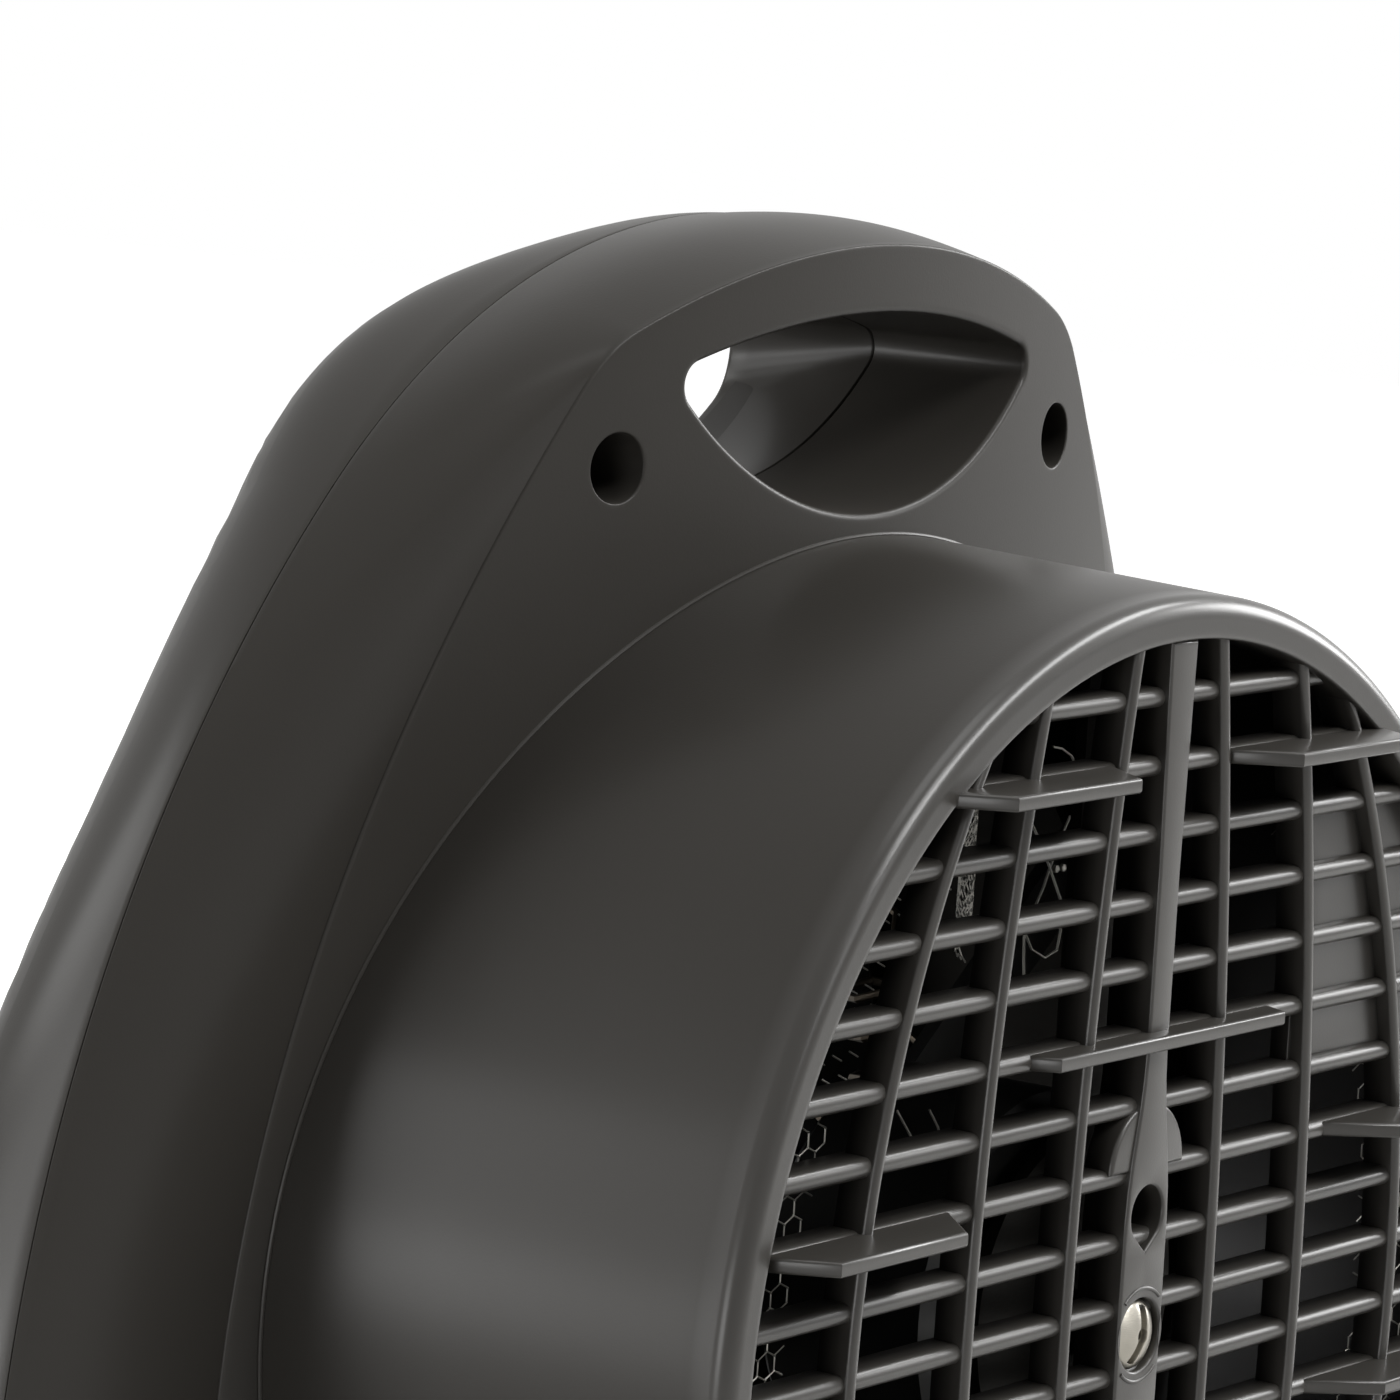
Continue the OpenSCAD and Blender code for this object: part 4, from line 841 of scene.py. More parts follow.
def metal(name, shade, roughness, scratch_mm=0.4, bump_mm=0.01, mottle=0.12):
    """Bare or plated metal: full metallic, its shade mottled a little, with fine scratches in the
    roughness and the bump."""
    material, tree, place = surface(name)
    stretch = add(tree, "ShaderNodeMapping", {"Vector": place, "Scale": (1.0, 1.0, 5.0)})
    fine = noise(tree, stretch.outputs[0], scratch_mm, 3.0)
    dark = tuple(c * (1 - mottle) for c in colour(shade)[:3]) + (1.0,)
    shader = feed(tree, blend(tree, noise(tree, place, 6 * scratch_mm, 2.0), dark, colour(shade)),
                  ramp(tree, fine, 0.0, 1.0, roughness - 0.06, roughness + 0.1), fine, bump_mm)
    shader.inputs["Metallic"].default_value = 1.0
    return material


def dome_y(flat):
    """Height of the screw's head: a cap that falls with the square of the distance from its middle."""
    reach = np.hypot(flat[:, 0], flat[:, 1] - SCREW_Z) / HEAD_RADIUS
    return HEAD_EDGE_Y + DOME * (1 - reach ** 2)


def slot_outline(grow):
    """Slot of the head with its round middle hole bulging out of both sides, leaning."""
    half = SLOT_WIDTH / 2 + grow
    length = SLOT_HALF + grow
    w = np.linspace(-length, length, 61)
    bulge = np.sqrt(np.clip((PIN_HOLE + grow) ** 2 - w ** 2, 0, None))
    side = np.maximum(np.minimum(half, np.sqrt(np.clip(length ** 2 - w ** 2, 0, None)) + 0.02), bulge)
    loop = np.concatenate([np.stack([side, w], axis=-1), np.stack([-side, w], axis=-1)[::-1]])
    turn_by = np.array([[math.cos(SLOT_LEAN), math.sin(SLOT_LEAN)],
                        [-math.sin(SLOT_LEAN), math.cos(SLOT_LEAN)]])
    return loop @ turn_by + np.array([0, SCREW_Z])


screw_metal = metal("zinc_plated_steel", "#a8a49a", 0.34, 0.7, 0.05, 0.45)
pin = circle(0, SCREW_Z, PIN_HOLE - 0.1, 32)
pin_wall = [stand(pin, dome_y(pin) - drop) for drop in (SLOT_DEPTH, PIN_DEPTH)]
rim_loop = circle(0, SCREW_Z, HEAD_RADIUS, 64)
rim_at = [(HEAD_RADIUS, HEAD_EDGE_Y), (HEAD_RADIUS + 0.05, HEAD_EDGE_Y - 0.12),
          (HEAD_RADIUS, HEAD_EDGE_Y - 0.4), (SHANK_RADIUS, HEAD_EDGE_Y - 0.45),
          (SHANK_RADIUS, SHANK_END_Y + 0.4), (SHANK_RADIUS - 0.4, SHANK_END_Y)]
rim_rings = [stand(circle(0, SCREW_Z, r, 64), y) for r, y in rim_at]
screw_parts = [
    strip(rim_rings), lift(fill([rim_loop, slot_outline(SLOT_BRINK[0][0])], 0.5), dome_y),
    hole(slot_outline, SLOT_BRINK, dome_y),
    lift(fill([slot_outline(0.0), pin], 0.4), dome_y, -SLOT_DEPTH), strip(pin_wall),
    (pin_wall[1], [list(range(32))]), (rim_rings[-1], [list(range(64))])]
piece("middle_screw", screw_parts, screw_metal, "casing", ["grille_screw"])


# Wire netting. Woven hexagonal netting of thin dull wire behind the bars, in a band along the
# drum's wall on both sides; high up only its slanted wires are left.
CELL = 3.0
CELL_STRETCH = 1.3
NET_WIRE = 0.11
NET_Y = 44.4
NET_SAG = 0.02
BAND_FROM = 67.0
BAND_TO = 81.5
BAND_HIGH = 58.0
UPRIGHTS_TO = 30.0


def honeycomb(width, height, cell):
    """Edges of a hexagonal lattice over a rectangle, as pairs of flat points: each cell gives its
    three edges that start at its lower corner."""
    step = cell * ROW_STEP
    columns, rows = np.meshgrid(np.arange(int(width / cell) + 2), np.arange(int(height / step) + 2))
    cx = (columns + 0.5 * (rows % 2)) * cell
    cz = rows * step
    side = cell / math.sqrt(3)
    corners = [(side * math.sin(a), side * math.cos(a)) for a in np.radians([180, 120, 60, 0])]
    edges = []
    for (ax, az), (bx, bz) in zip(corners[:-1], corners[1:]):
        edges.append(np.stack([cx + ax, cz + az, cx + bx, cz + bz], axis=-1).reshape(-1, 4))
    return np.concatenate(edges)


def struts(starts, ends, radius):
    """Four-sided wires between pairs of points, all at once: corners are offset by the radius along
    +-u and +-v, two directions square to each wire."""
    ahead = ends - starts
    u, v = square_to(ahead / np.linalg.norm(ahead, axis=1, keepdims=True))
    ring = np.stack([u, v, -u, -v], axis=1) * radius
    points = np.concatenate([starts[:, None] + ring, ends[:, None] + ring], axis=1).reshape(-1, 3)
    base = np.arange(len(starts))[:, None, None] * 8
    quads = np.array([[0, 1, 5, 4], [1, 2, 6, 5], [2, 3, 7, 6], [3, 0, 4, 7], [3, 2, 1, 0], [4, 5, 6, 7]])
    return points, (base + quads[None]).reshape(-1, 4).tolist()


net_wire = metal("dull_iron_wire", "#aaa8a1", 0.5, 0.3, 0.0)
edges = honeycomb(90 / CELL_STRETCH, 170, CELL) * (CELL_STRETCH, 1, CELL_STRETCH, 1) + (0, -85, 0, -85)
slanted = edges[:, 2] > edges[:, 0] + 0.01
reach = np.hypot(*((edges[:, :2] + edges[:, 2:]) / 2).T)
in_band = (reach > BAND_FROM) & (reach < BAND_TO) & (np.abs(edges[:, 1]) < BAND_HIGH)
in_band &= slanted | (edges[:, 1] < UPRIGHTS_TO)
band = edges[in_band]
net_y = NET_Y - NET_SAG * (BAND_TO - reach[in_band]) ** 1.5
for side, name in ((1, "wire_net_right"), (-1, "wire_net_left")):
    starts = np.column_stack([side * band[:, 0], net_y, DRUM_Z + band[:, 1]])
    ends = np.column_stack([side * band[:, 2], net_y, DRUM_Z + band[:, 3]])
    piece(name, [struts(starts, ends, NET_WIRE)], net_wire, "casing")


# Loose netting and wire ends. A strip of the same netting hangs deeper in behind the upper bars,
# with a few thin wire ends crossing beside it, glimpsed only as bright strands in the dark.
LOOSE_CELL = 1.9
STRIP_FROM = np.array([23.0, 36.5])
STRIP_TO = np.array([4.0, 24.0])
STRIP_LOW = 199.0
STRIP_HIGH = 226.0
STRIP_SWAY = 0.9
TORN_SHARE = 0.12
WIRE_END = 0.16
SOLDER_BEAD = 0.5


def hung(edges):
    """Ends (u, v) of flat edges hung in space: u runs from one upright of the strip to the other, v
    is the height, and the strip sways by STRIP_SWAY times a sine of the height and u."""
    ends = []
    way = (STRIP_TO - STRIP_FROM) / np.linalg.norm(STRIP_TO - STRIP_FROM)
    for u, v in ((edges[:, 0], edges[:, 1]), (edges[:, 2], edges[:, 3])):
        sway = STRIP_SWAY * np.sin(v * 0.45 + u * 0.3)
        flat = STRIP_FROM + u[:, None] * way + sway[:, None] * np.array([-way[1], way[0]])
        ends.append(level(flat, STRIP_LOW + v))
    return ends


strip_edges = honeycomb(np.linalg.norm(STRIP_TO - STRIP_FROM), STRIP_HIGH - STRIP_LOW, LOOSE_CELL)
draws = np.random.default_rng(11)
kept = draws.random(len(strip_edges)) > TORN_SHARE
piece("loose_netting", [struts(*hung(strip_edges[kept]), NET_WIRE)], net_wire, "casing")
wire_paths = [
    [(-0.1, 30, 213.0), (-3.4, 30.4, 208.6), (-6.9, 30.2, 204.0), (-10.2, 30, 199.6)],
    [(-10.6, 29.5, 212.0), (-7.4, 29.8, 208.1), (-4.1, 30.3, 203.5), (-1.4, 30.4, 200.0)],
    [(-1.0, 30, 198.2), (-2.4, 30.3, 195.9), (-5.2, 30.5, 194.6), (-8.3, 30.3, 195.2), (-9.4, 30, 197.6),
     (-8.6, 29.8, 199.2)],
    [(-0.9, 30, 198.0), (-1.2, 30, 194.6), (-1.6, 30, 191.8)],
    [(-4.8, 30, 221.3), (-6.4, 30.3, 221.0), (-8.6, 30.4, 219.9), (-10.7, 30, 218.1)],
    [(25.4, 30, 178.8), (23.2, 30.2, 176.2), (20.9, 30, 173.9)],
    [(18.2, 30, 178.0), (16.3, 30.2, 175.6), (15.2, 30, 173.9)],
    [(-2.1, 30, 177.4), (-4.4, 30.6, 178.0), (-6.6, 30.4, 177.0), (-7.3, 30, 174.3)],
    [(-3.8, 30, 151.4), (-5.6, 30.6, 151.9), (-6.9, 30.3, 150.2), (-7.2, 30, 147.2), (-5.8, 29.7, 146.2)],
]
wire_parts = [tube(path, WIRE_END, 6) for path in wire_paths]
wire_parts += [turned([(0, 29.4), (SOLDER_BEAD, 29.7), (SOLDER_BEAD, 30.2), (0, 30.5)], x, 205.6, 12)
               for x in (-7.4, -9.0)]
piece("wire_ends", wire_parts, net_wire, "casing")


# Fan, motor and heater. An axial fan on a small shaded motor blows through two curled windings on
# crossed mica boards in a sheet-steel duct. The duct, its bracket, the boards and the cut-out are
# darkened as painted shade behind the grille.
def dress(material, *nodes):
    """Gives the carried-over CAD nodes this material in all their slots."""
    for node in nodes:
        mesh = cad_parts[node].data
        mesh.materials.clear()
        mesh.materials.append(material)


# Painted shade: the galvanised duct and its bracket are coloured near-black.
dress(metal("galvanised_sheet_painted_shade", "#2b2a28", 0.5, 1.2, 0.02, 0.25), "heater_duct", "motor_bracket")
# Painted shade: the mica boards and the cut-out are coloured near-black too.
dress(moulded("mica_board", "#1d1a15", "#28241d", 0.62, 0.8, 0.05, 0.4, 6.0), "mica_boards", "thermal_cutout")
dress(metal("oxidised_resistance_wire", "#4a443c", 0.42, 0.6, 0.01, 0.3), "outer_coil", "inner_coil")
dress(moulded("black_stoved_enamel", "#171716", "#1d1d1b", 0.4, 0.5, 0.02, 0.5, 12.0), "motor_can")
dress(metal("sintered_bronze", "#8a6d3b", 0.4), "motor_bushes")
dress(moulded("black_glass_filled_nylon", "#141413", "#1a1a18", 0.5, 0.5, 0.03, 0.4, 14.0), "fan_blades")
steel = metal("ground_steel", "#b3b2ad", 0.28, 0.3, 0.008)
dress(steel, "motor_shaft", "thermostat_shaft", "selector_shaft", "tip_spring")
zinc = metal("zinc_plated_fastener", "#a9a69d", 0.34, 0.5, 0.015, 0.2)
dress(zinc, "fan_nut", "bracket_screws", "stand_screws", "base_screws")
dress(metal("blackened_screw_steel", "#5a5854", 0.4, 0.5, 0.015, 0.25), "casing_screws")


# Outlet. A black ring clips into the front shell over a punched steel guard with hexagonal holes
# that is painted black. A ring of near-black felt behind the guard's edge is painted shade that stops the
# light there.
RING_OUT = 87.0
RING_IN = 76.4
RING_TOP = FRONT_FACE_Y - 4.4
RING_FOOT = FRONT_FACE_Y - 0.02
GUARD_LOW = -43.35
GUARD_HIGH = -42.15
GUARD_RADIUS = 79.2
MESH_PITCH = 9.2
MESH_WEB = 1.1
CELL_ROUND = 0.16
BACKING_IN = 60.0
BACKING_OUT = 76.7
BACKING_LOW = GUARD_HIGH + 0.4
BACKING_HIGH = GUARD_HIGH + 0.7

black_plastic = moulded("black_moulded_abs", "#1d1d1c", "#232221", 0.36, 0.4, 0.02, 0.5, 30.0)
ring_profile = [
    (RING_IN, -43.4), (RING_IN, RING_TOP + 1.8), *corner(RING_IN + 1.8, RING_TOP + 1.8, 1.8, 180, 270, 7),
    (RING_IN + 4.0, RING_TOP), *corner(RING_IN + 4.9, RING_TOP, 0.5, 180, 0, 6), (RING_IN + 6.0, RING_TOP),
    *corner(RING_OUT - 3.6, RING_TOP + 2.4, 2.4, 270, 340, 6), (RING_OUT - 0.05, RING_FOOT - 0.3),
    (RING_OUT, RING_FOOT), (OUTLET_RADIUS - 0.1, RING_FOOT), (OUTLET_RADIUS - 0.1, -43.4)]
piece("outlet_ring", [turned(ring_profile, 0, DRUM_Z, 192, True)], black_plastic, "casing",
      ["outlet_bezel"])

guard_paint = moulded("black_powder_coat", "#1a1a19", "#201f1e", 0.48, 0.35, 0.03, 0.5, 20.0)
hex_turn = np.radians(np.arange(6) * 60)
cell_corner = (MESH_PITCH - MESH_WEB) / 2 / math.cos(math.pi / 6)
hex_corners = np.stack([np.sin(hex_turn), np.cos(hex_turn)], axis=-1) * cell_corner
after = np.roll(hex_corners, -1, axis=0)
cell_loop = np.stack([hex_corners + (after - hex_corners) * share for share in (CELL_ROUND, 1 - CELL_ROUND)],
                     axis=1).reshape(-1, 2)
row_pitch = MESH_PITCH * math.sin(math.pi / 3)
cell_rows = math.ceil(OUTLET_RADIUS / row_pitch)
cell_i, cell_j = np.meshgrid(np.arange(-cell_rows, cell_rows + 1), np.arange(-cell_rows, cell_rows + 1))
cells = np.stack([(cell_i + (np.abs(cell_j) % 2) / 2) * MESH_PITCH, cell_j * row_pitch],
                 axis=-1).reshape(-1, 2)
cells = cells[np.hypot(*cells.T) < OUTLET_RADIUS - 1 - MESH_PITCH / 2]
guard_parts = slab(circle(0, DRUM_Z, GUARD_RADIUS, 128), [cell_loop + cell + (0, DRUM_Z) for cell in cells],
                   GUARD_LOW, GUARD_HIGH, 0.25, 0.35, spacing=40.0)
piece("outlet_guard", guard_parts, guard_paint, "casing", ["front_guard"])
# Painted shade: a near-black ring that keeps the outlet dark when seen through the drum.
felt = moulded("glass_felt_painted_shade", "#0d0d0c", "#121110", 0.8)
backing_profile = [(BACKING_IN, BACKING_HIGH), (BACKING_OUT, BACKING_HIGH), (BACKING_OUT, BACKING_LOW),
                   (BACKING_IN, BACKING_LOW)]
piece("guard_backing", [turned(backing_profile, 0, DRUM_Z, 128, True)], felt, "casing")


# Controls. Thermostat and selector under the outlet, each with a fluted knob that has a raised grip
# and a white pointer line; the scale round them is printed white, and a red lens sits between.
KNOB_RADIUS = 16.0
KNOB_BACK_Y = FRONT_FACE_Y - 1.6
KNOB_DISC_Y = FRONT_FACE_Y - 9.5
KNOB_FRONT_Y = FRONT_FACE_Y - 15.4
FLUTES = 36
FLUTE_DEPTH = 0.35
GRIP_HALF = 3.0
GRIP_REACH = 13.6
GRIP_ROUND = 1.3
POINTER = np.array([(-0.55, 3.0), (-0.55, 12.0), (0.55, 12.0), (0.55, 3.0)])
PRINT_HEIGHT = 0.08
MARK_FROM = 17.8
MARK_TO = 19.6
FIGURE_SIZE = 4.2
FIGURE_REACH = 22.6
LENS_RADIUS = 4.0
LENS_HEIGHT = 1.25
LENS_STEM = 3.2
LENS_END_Y = -40.4

knob_plastic = moulded("satin_black_knob_abs", "#262524", "#2c2b29", 0.3, 0.5, 0.012, 0.5, 20.0)
white_print = moulded("white_screen_print", "#d4d2ca", "#dcdad3", 0.55, 0.3, 0.01, 0.4, 10.0)


def ribbed(profile, x, z, count=216):
    """Solid turned about an axis along y with flutes round its side: the radius loses
    d (1 + cos(n a)) / 2 at angle a where the profile's third number is 1."""
    profile = np.asarray(profile, float)
    a = np.arange(count) / count * 2 * math.pi
    radius = profile[:, :1] - FLUTE_DEPTH * profile[:, 2:] * (1 + np.cos(FLUTES * a)) / 2
    rings = np.stack([x + radius * np.sin(a), np.broadcast_to(profile[:, 1:2], radius.shape),
                      z + radius * np.cos(a)], axis=-1)
    return strip(rings)


def around(knob_x, angle, reach):
    """Flat point at a distance from a knob's axis, at an angle clockwise from the top."""
    a = math.radians(angle)
    return np.array([knob_x + reach * math.sin(a), KNOB_Z + reach * math.cos(a)])


def figure(text, knob_x, angle):
    """Raised figure of a scale on the front face: the filled outline of its character, with its own
    x along x and its y along z."""
    data = bpy.data.curves.new(text, "FONT")
    data.body = text
    data.size = FIGURE_SIZE / 1000
    data.extrude = PRINT_HEIGHT / 2000
    data.align_x = "CENTER"
    data.align_y = "CENTER"
    carrier = bpy.data.objects.new(text, data)
    mesh = bpy.data.meshes.new_from_object(carrier)
    points = np.array([tuple(v.co) for v in mesh.vertices]) * 1000
    faces = [list(face.vertices) for face in mesh.polygons]
    bpy.data.objects.remove(carrier)
    bpy.data.meshes.remove(mesh)
    return stand(around(knob_x, angle, FIGURE_REACH) + points[:, :2],
                 FRONT_FACE_Y - PRINT_HEIGHT / 2 - points[:, 2]), faces


def mark(knob_x, angle, width):
    """Stroke of a scale: a thin plate of this width that points away from the knob's axis."""
    low, high = around(knob_x, angle, MARK_FROM), around(knob_x, angle, MARK_TO)
    out = (high - low) / (MARK_TO - MARK_FROM)
    across = np.array([out[1], -out[0]]) * width / 2
    loop = np.array([low - across, high - across, high + across, low + across])
    return slab(loop, [], FRONT_FACE_Y - PRINT_HEIGHT, FRONT_FACE_Y + 0.02, 0.0, 0.0, spacing=30.0)


side_y = np.linspace(KNOB_BACK_Y - 0.6, KNOB_DISC_Y + 1.5, 6)
side_r = np.linspace(KNOB_RADIUS, KNOB_RADIUS - 0.5, 6)
knob_edge = corner(KNOB_RADIUS - 2.0, KNOB_DISC_Y + 1.5, 1.5, 345, 270, 6)
knob_profile = [(0, KNOB_BACK_Y, 0), (KNOB_RADIUS - 1.2, KNOB_BACK_Y, 0),
                (KNOB_RADIUS - 0.3, KNOB_BACK_Y - 0.15, 0.6), *[(r, y, 1) for r, y in zip(side_r, side_y)],
                *[(r, y, max(0.0, 1 - k / 4)) for k, (r, y) in enumerate(knob_edge)],
                (KNOB_RADIUS - 4.0, KNOB_DISC_Y + 0.1, 0), (0, KNOB_DISC_Y + 0.3, 0)]
grip_turn = np.linspace(0, 2 * math.pi, 73)[:-1]
grip_side = np.sign(np.sin(grip_turn)) * np.abs(np.sin(grip_turn)) ** 0.35
grip_x = GRIP_HALF * grip_side * (0.84 + 0.16 * np.cos(grip_turn) ** 2)
grip = np.column_stack([grip_x, GRIP_REACH * np.cos(grip_turn)])
for kx, knob_name, knob_body, knob_node in (
        (KNOB_X, "thermostat_dial", "thermostat_control", "thermostat_knob"),
        (-KNOB_X, "selector_dial", "selector_control", "selector_knob")):
    knob_parts = [ribbed(knob_profile, kx, KNOB_Z)]
    knob_parts += slab(grip + (kx, KNOB_Z), [], KNOB_FRONT_Y, KNOB_DISC_Y + 0.6, 0.0, GRIP_ROUND, spacing=2.0)
    piece(knob_name, knob_parts, knob_plastic, knob_body, [knob_node])
    line = slab(POINTER + (kx, KNOB_Z), [], KNOB_FRONT_Y - 0.06, KNOB_FRONT_Y + 0.3, 0.0, 0.0, spacing=30.0)
    piece(knob_name + "_line", line, white_print, knob_body)
print_parts = []
for angle in range(0, 271, 30):
    print_parts += mark(KNOB_X, angle, 0.45)
for angle in range(0, 136, 45):
    print_parts += mark(-KNOB_X, angle, 0.7)
    print_parts.append(figure(str(angle // 45), -KNOB_X, angle))
print_parts += [figure(text, KNOB_X, angle) for text, angle in (("1", 0), ("2", 90), ("3", 270))]
piece("dial_print", print_parts, white_print, "casing", sharp=20)
dress(moulded("brown_phenolic", "#33291f", "#3d3226", 0.55, 0.6, 0.03, 0.4, 9.0),
      "thermostat", "selector_switch")

red_lens = moulded("red_polycarbonate", "#8c1f12", "#962515", 0.16, 0.8, 0.004, 0.5, 8.0)
red_lens.node_tree.nodes["Principled BSDF"].inputs["Transmission Weight"].default_value = 0.45
lens_profile = [(LENS_RADIUS * math.sin(t), FRONT_FACE_Y - 0.5 - LENS_HEIGHT * math.cos(t))
                for t in np.linspace(0, math.pi / 2, 12)]
lens_profile += [(LENS_RADIUS, FRONT_FACE_Y - 0.02), (LENS_STEM, FRONT_FACE_Y - 0.02),
                 (LENS_STEM, LENS_END_Y), (0, LENS_END_Y)]
piece("indicator_lens", [turned(lens_profile, 0, KNOB_Z, 48)], red_lens, "casing",
      ["lamp_lens"])
glass = moulded("lamp_glass_bulb", "#c98a5c", "#d29a6c", 0.1, 1.0, 0.002, 0.5, 5.0)
glass.node_tree.nodes["Principled BSDF"].inputs["Transmission Weight"].default_value = 0.7
dress(glass, "neon_lamp")
dress(moulded("white_moulded_nylon", "#c9c5b8", "#d2cec2", 0.5, 0.5, 0.02, 0.4, 8.0),
      "terminal_block", "tip_switch")
dress(moulded("red_silicone_sleeve", "#5f2419", "#6d2c1f", 0.6, 0.5, 0.02, 0.4, 8.0), "supply_leads")


# Cord bushing. A black rubber grommet with a rounded flange, pressed into the back plate low down.
GLAND_IN_Y = -4.4
GLAND_FLANGE_Y = 4.1
GLAND_BORE = 3.6
GLAND_STEM = 5.6
GLAND_FLANGE = 7.2
rubber = moulded("black_rubber", "#131312", "#191817", 0.62, 0.5, 0.04, 0.35, 10.0)
gland_profile = [
    (GLAND_BORE, GLAND_IN_Y), (GLAND_STEM, GLAND_IN_Y), (GLAND_STEM, GLAND_FLANGE_Y),
    (GLAND_FLANGE, GLAND_FLANGE_Y), *corner(GLAND_FLANGE, GLAND_FLANGE_Y + 0.8, 0.8, 270, 450, 9),
    (6.3, GLAND_FLANGE_Y + 1.75), *corner(5.4, GLAND_FLANGE_Y + 2.0, 0.6, 0, 90, 5),
    *corner(GLAND_BORE + 0.6, GLAND_FLANGE_Y + 2.0, 0.6, 90, 180, 5)]
piece("cord_bushing", [turned(gland_profile, 0, GLAND_Z, 64, True)], rubber,
      "casing", ["cord_gland"])


# Base. A rounded oblong foot moulded in the same dark ABS, hollow underneath and closed by a flat
# plate, standing on four rubber feet; the tip-over plunger comes out between them.
BASE_HALF = np.array([125.0, 62.0])
BASE_CORNER = 40.0
BASE_TOP = 22.0
BASE_FOOT = 6.0
BASE_EDGE = 3.0
BASE_LIP = 2.4
BASE_SKIN = 2.4
BASE_INNER = 5.4
COVER_Z = 8.9
FOOT_ROUND = 0.5
FOOT_SPOTS = ((100, 40), (100, -40), (-100, 40), (-100, -40))


def oblong(inset, steps=20):
    """Rounded oblong drawn in by the inset: four quarter circles about the corners' centres."""
    radius = BASE_CORNER - inset
    cx, cy = BASE_HALF - BASE_CORNER
    loop = []
    for quarter, (sx, sy) in enumerate(((1, 1), (-1, 1), (-1, -1), (1, -1))):
        a = (quarter + np.linspace(0, 1, steps)) * math.pi / 2
        loop.append(np.stack([sx * cx + radius * np.cos(a), sy * cy + radius * np.sin(a)], axis=-1))
    return np.concatenate(loop)


base_plastic = moulded("base_moulded_abs", "#2f2d2a", "#32302d", 0.42, specular=0.08, skin=0.2)
round_turns = np.linspace(0, math.pi / 2, 9)
base_rings = [level(oblong(drawn), z) for drawn, z in (
    (BASE_INNER, BASE_TOP - BASE_SKIN), (BASE_INNER, COVER_Z), (BASE_LIP, COVER_Z),
    (BASE_LIP, BASE_FOOT + 0.1), (BASE_LIP - 0.1, BASE_FOOT), (FOOT_ROUND, BASE_FOOT))]
base_rings += [level(oblong(FOOT_ROUND * (1 - math.sin(t))), BASE_FOOT + FOOT_ROUND * (1 - math.cos(t)))
               for t in round_turns[1:]]
base_rings += [level(oblong(BASE_EDGE * (1 - math.cos(t))), BASE_TOP - BASE_EDGE + BASE_EDGE * math.sin(t))
               for t in round_turns]
base_nets = []
for loop, z in ((oblong(BASE_EDGE), BASE_TOP), (oblong(BASE_INNER), BASE_TOP - BASE_SKIN)):
    flat, faces = fill([loop], 9.0)
    base_nets.append((level(flat, z), faces))
piece("base_moulding", [strip(base_rings), *base_nets], base_plastic,
      "casing", ["base_shell"])
dress(base_plastic, "base_plate")
foot_profile = [(0, 0.5), (3.5, 0.5), (4.2, 0.0), *corner(8.0, 1.0, 1.0, 270, 360, 6), (8.9, 6.35),
                (3.0, 6.4), (3.0, 9.6), (0, 9.6)]
foot_parts = []
for fx, fy in FOOT_SPOTS:
    points, faces = turned(foot_profile, fx, fy, 48)
    foot_parts.append((points[:, [0, 2, 1]], faces))
piece("feet", foot_parts, rubber, "casing", ["rubber_feet"])
dress(moulded("red_acetal", "#8a2a1a", "#94301e", 0.35, 0.5, 0.01, 0.5, 6.0), "tip_plunger")


# Studio. A pale floor and a white surround that only the eye and reflections see. A long lamp
# high behind the heater lights its back; smaller ones beside it, low down and in front model the
# drum, the rim and the casing's edge.
FLOOR_HALF = 3.0
FLOOR_GLOW = 0.55
GLOW_REACH = (0.25, 0.6)
LAMP_AIM = Vector((0, 0, 0.17))
LAMPS = (
    ("strip", (-0.65, 0.75, 1.15), (1.6, 0.22), 21),
    ("over", (-0.05, 0.85, 1.15), (0.3, 0.3), 3.5),
    ("left", (-1.4, 0.4, 0.6), (0.5, 0.5), 11),
    ("above", (0.0, 0.1, 1.6), (0.7, 0.7), 4),
    ("behind", (-0.2, 1.4, 0.7), (0.5, 0.4), 2),
    ("near", (1.4, 0.3, 0.15), (0.5, 0.4), 4),
    ("low", (1.2, -0.8, 0.12), (0.5, 0.3), 4),
    ("side", (1.15, -0.85, 0.45), (0.4, 0.7), 6),
    ("front", (0.8, -1.25, 0.9), (0.5, 0.5), 7),
)


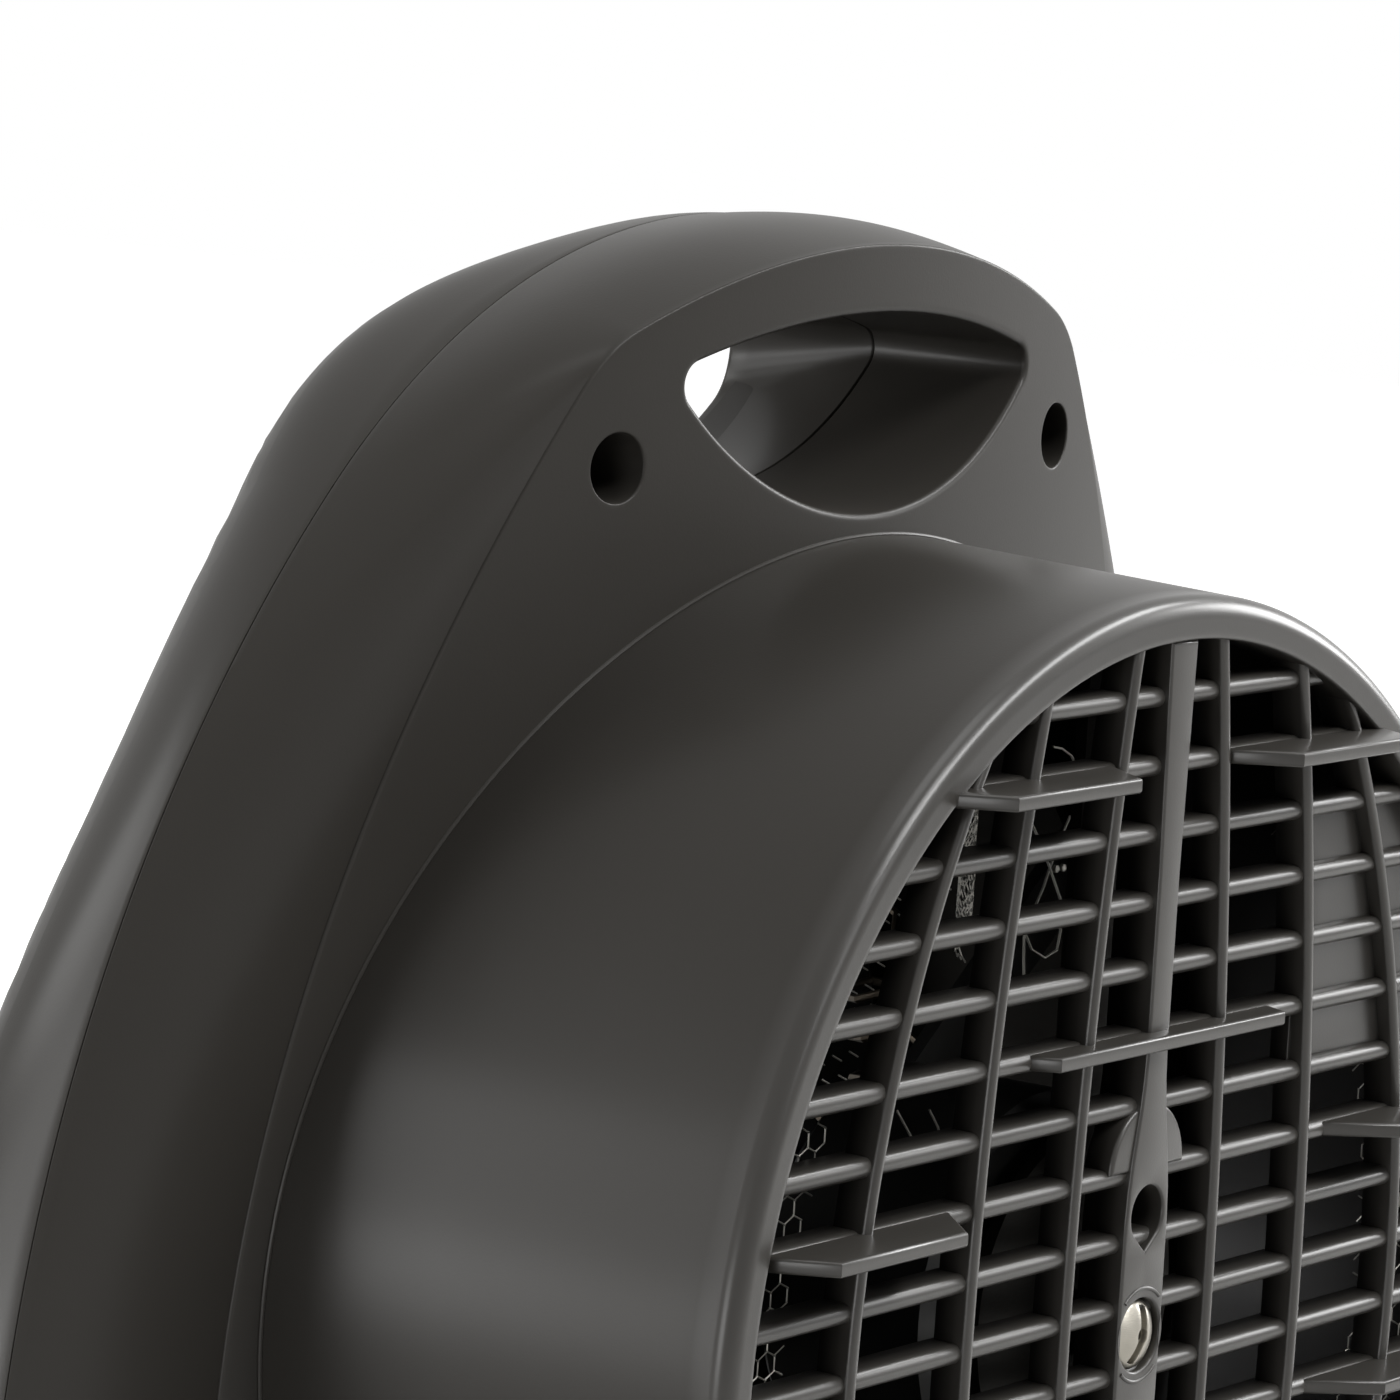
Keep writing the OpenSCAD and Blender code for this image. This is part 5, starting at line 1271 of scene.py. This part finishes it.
def looked_at(tree):
    """Output that is 1 for rays from the eye, in reflections and through clear parts, and else 0."""
    rays = add(tree, "ShaderNodeLightPath")
    seen = rays.outputs["Is Camera Ray"]
    for kind in ("Is Glossy Ray", "Is Transmission Ray"):
        seen = add(tree, "ShaderNodeMath", {0: seen, 1: rays.outputs[kind]}, operation="MAXIMUM").outputs[0]
    return seen


def lamp(name, place, size, power):
    """A soft rectangular lamp aimed at the heater's middle, in metres and watts."""
    data = bpy.data.lights.new(name, "AREA")
    data.shape = "RECTANGLE"
    data.size, data.size_y = size
    data.energy = power
    made = bpy.data.objects.new(name, data)
    made.location = place
    made.rotation_euler = (LAMP_AIM - made.location).to_track_quat("-Z", "Y").to_euler()
    scene.collection.objects.link(made)


world = bpy.data.worlds.new("studio")
scene.world = world
world.use_nodes = True
tree = world.node_tree
tree.nodes.clear()
sky = add(tree, "ShaderNodeBackground", {"Color": colour("#ffffff"), "Strength": looked_at(tree)})
add(tree, "ShaderNodeOutputWorld", {"Surface": sky.outputs[0]})
paper, tree, spot = surface("matt_white_paper")
shader = tree.nodes["Principled BSDF"]
shader.inputs["Base Color"].default_value = colour("#b4b3b0")
shader.inputs["Roughness"].default_value = 0.9
shader.inputs["Specular IOR Level"].default_value = 0.1
shader.inputs["Emission Color"].default_value = colour("#ffffff")
reach = add(tree, "ShaderNodeVectorMath", {0: spot}, operation="LENGTH").outputs["Value"]
glow = add(tree, "ShaderNodeMath", {0: looked_at(tree), 1: ramp(tree, reach, *GLOW_REACH, FLOOR_GLOW, 1.0)},
           operation="MULTIPLY")
tree.links.new(glow.outputs[0], shader.inputs["Emission Strength"])
sheet = bpy.data.meshes.new("floor")
sheet.from_pydata([(x * FLOOR_HALF, y * FLOOR_HALF, 0) for x, y in ((-1, -1), (1, -1), (1, 1), (-1, 1))],
                  [], [(0, 1, 2, 3)])
sheet.materials.append(paper)
floor = bpy.data.objects.new("floor", sheet)
scene.collection.objects.link(floor)

for name, place, size, power in LAMPS:
    lamp(name, place, size, power)
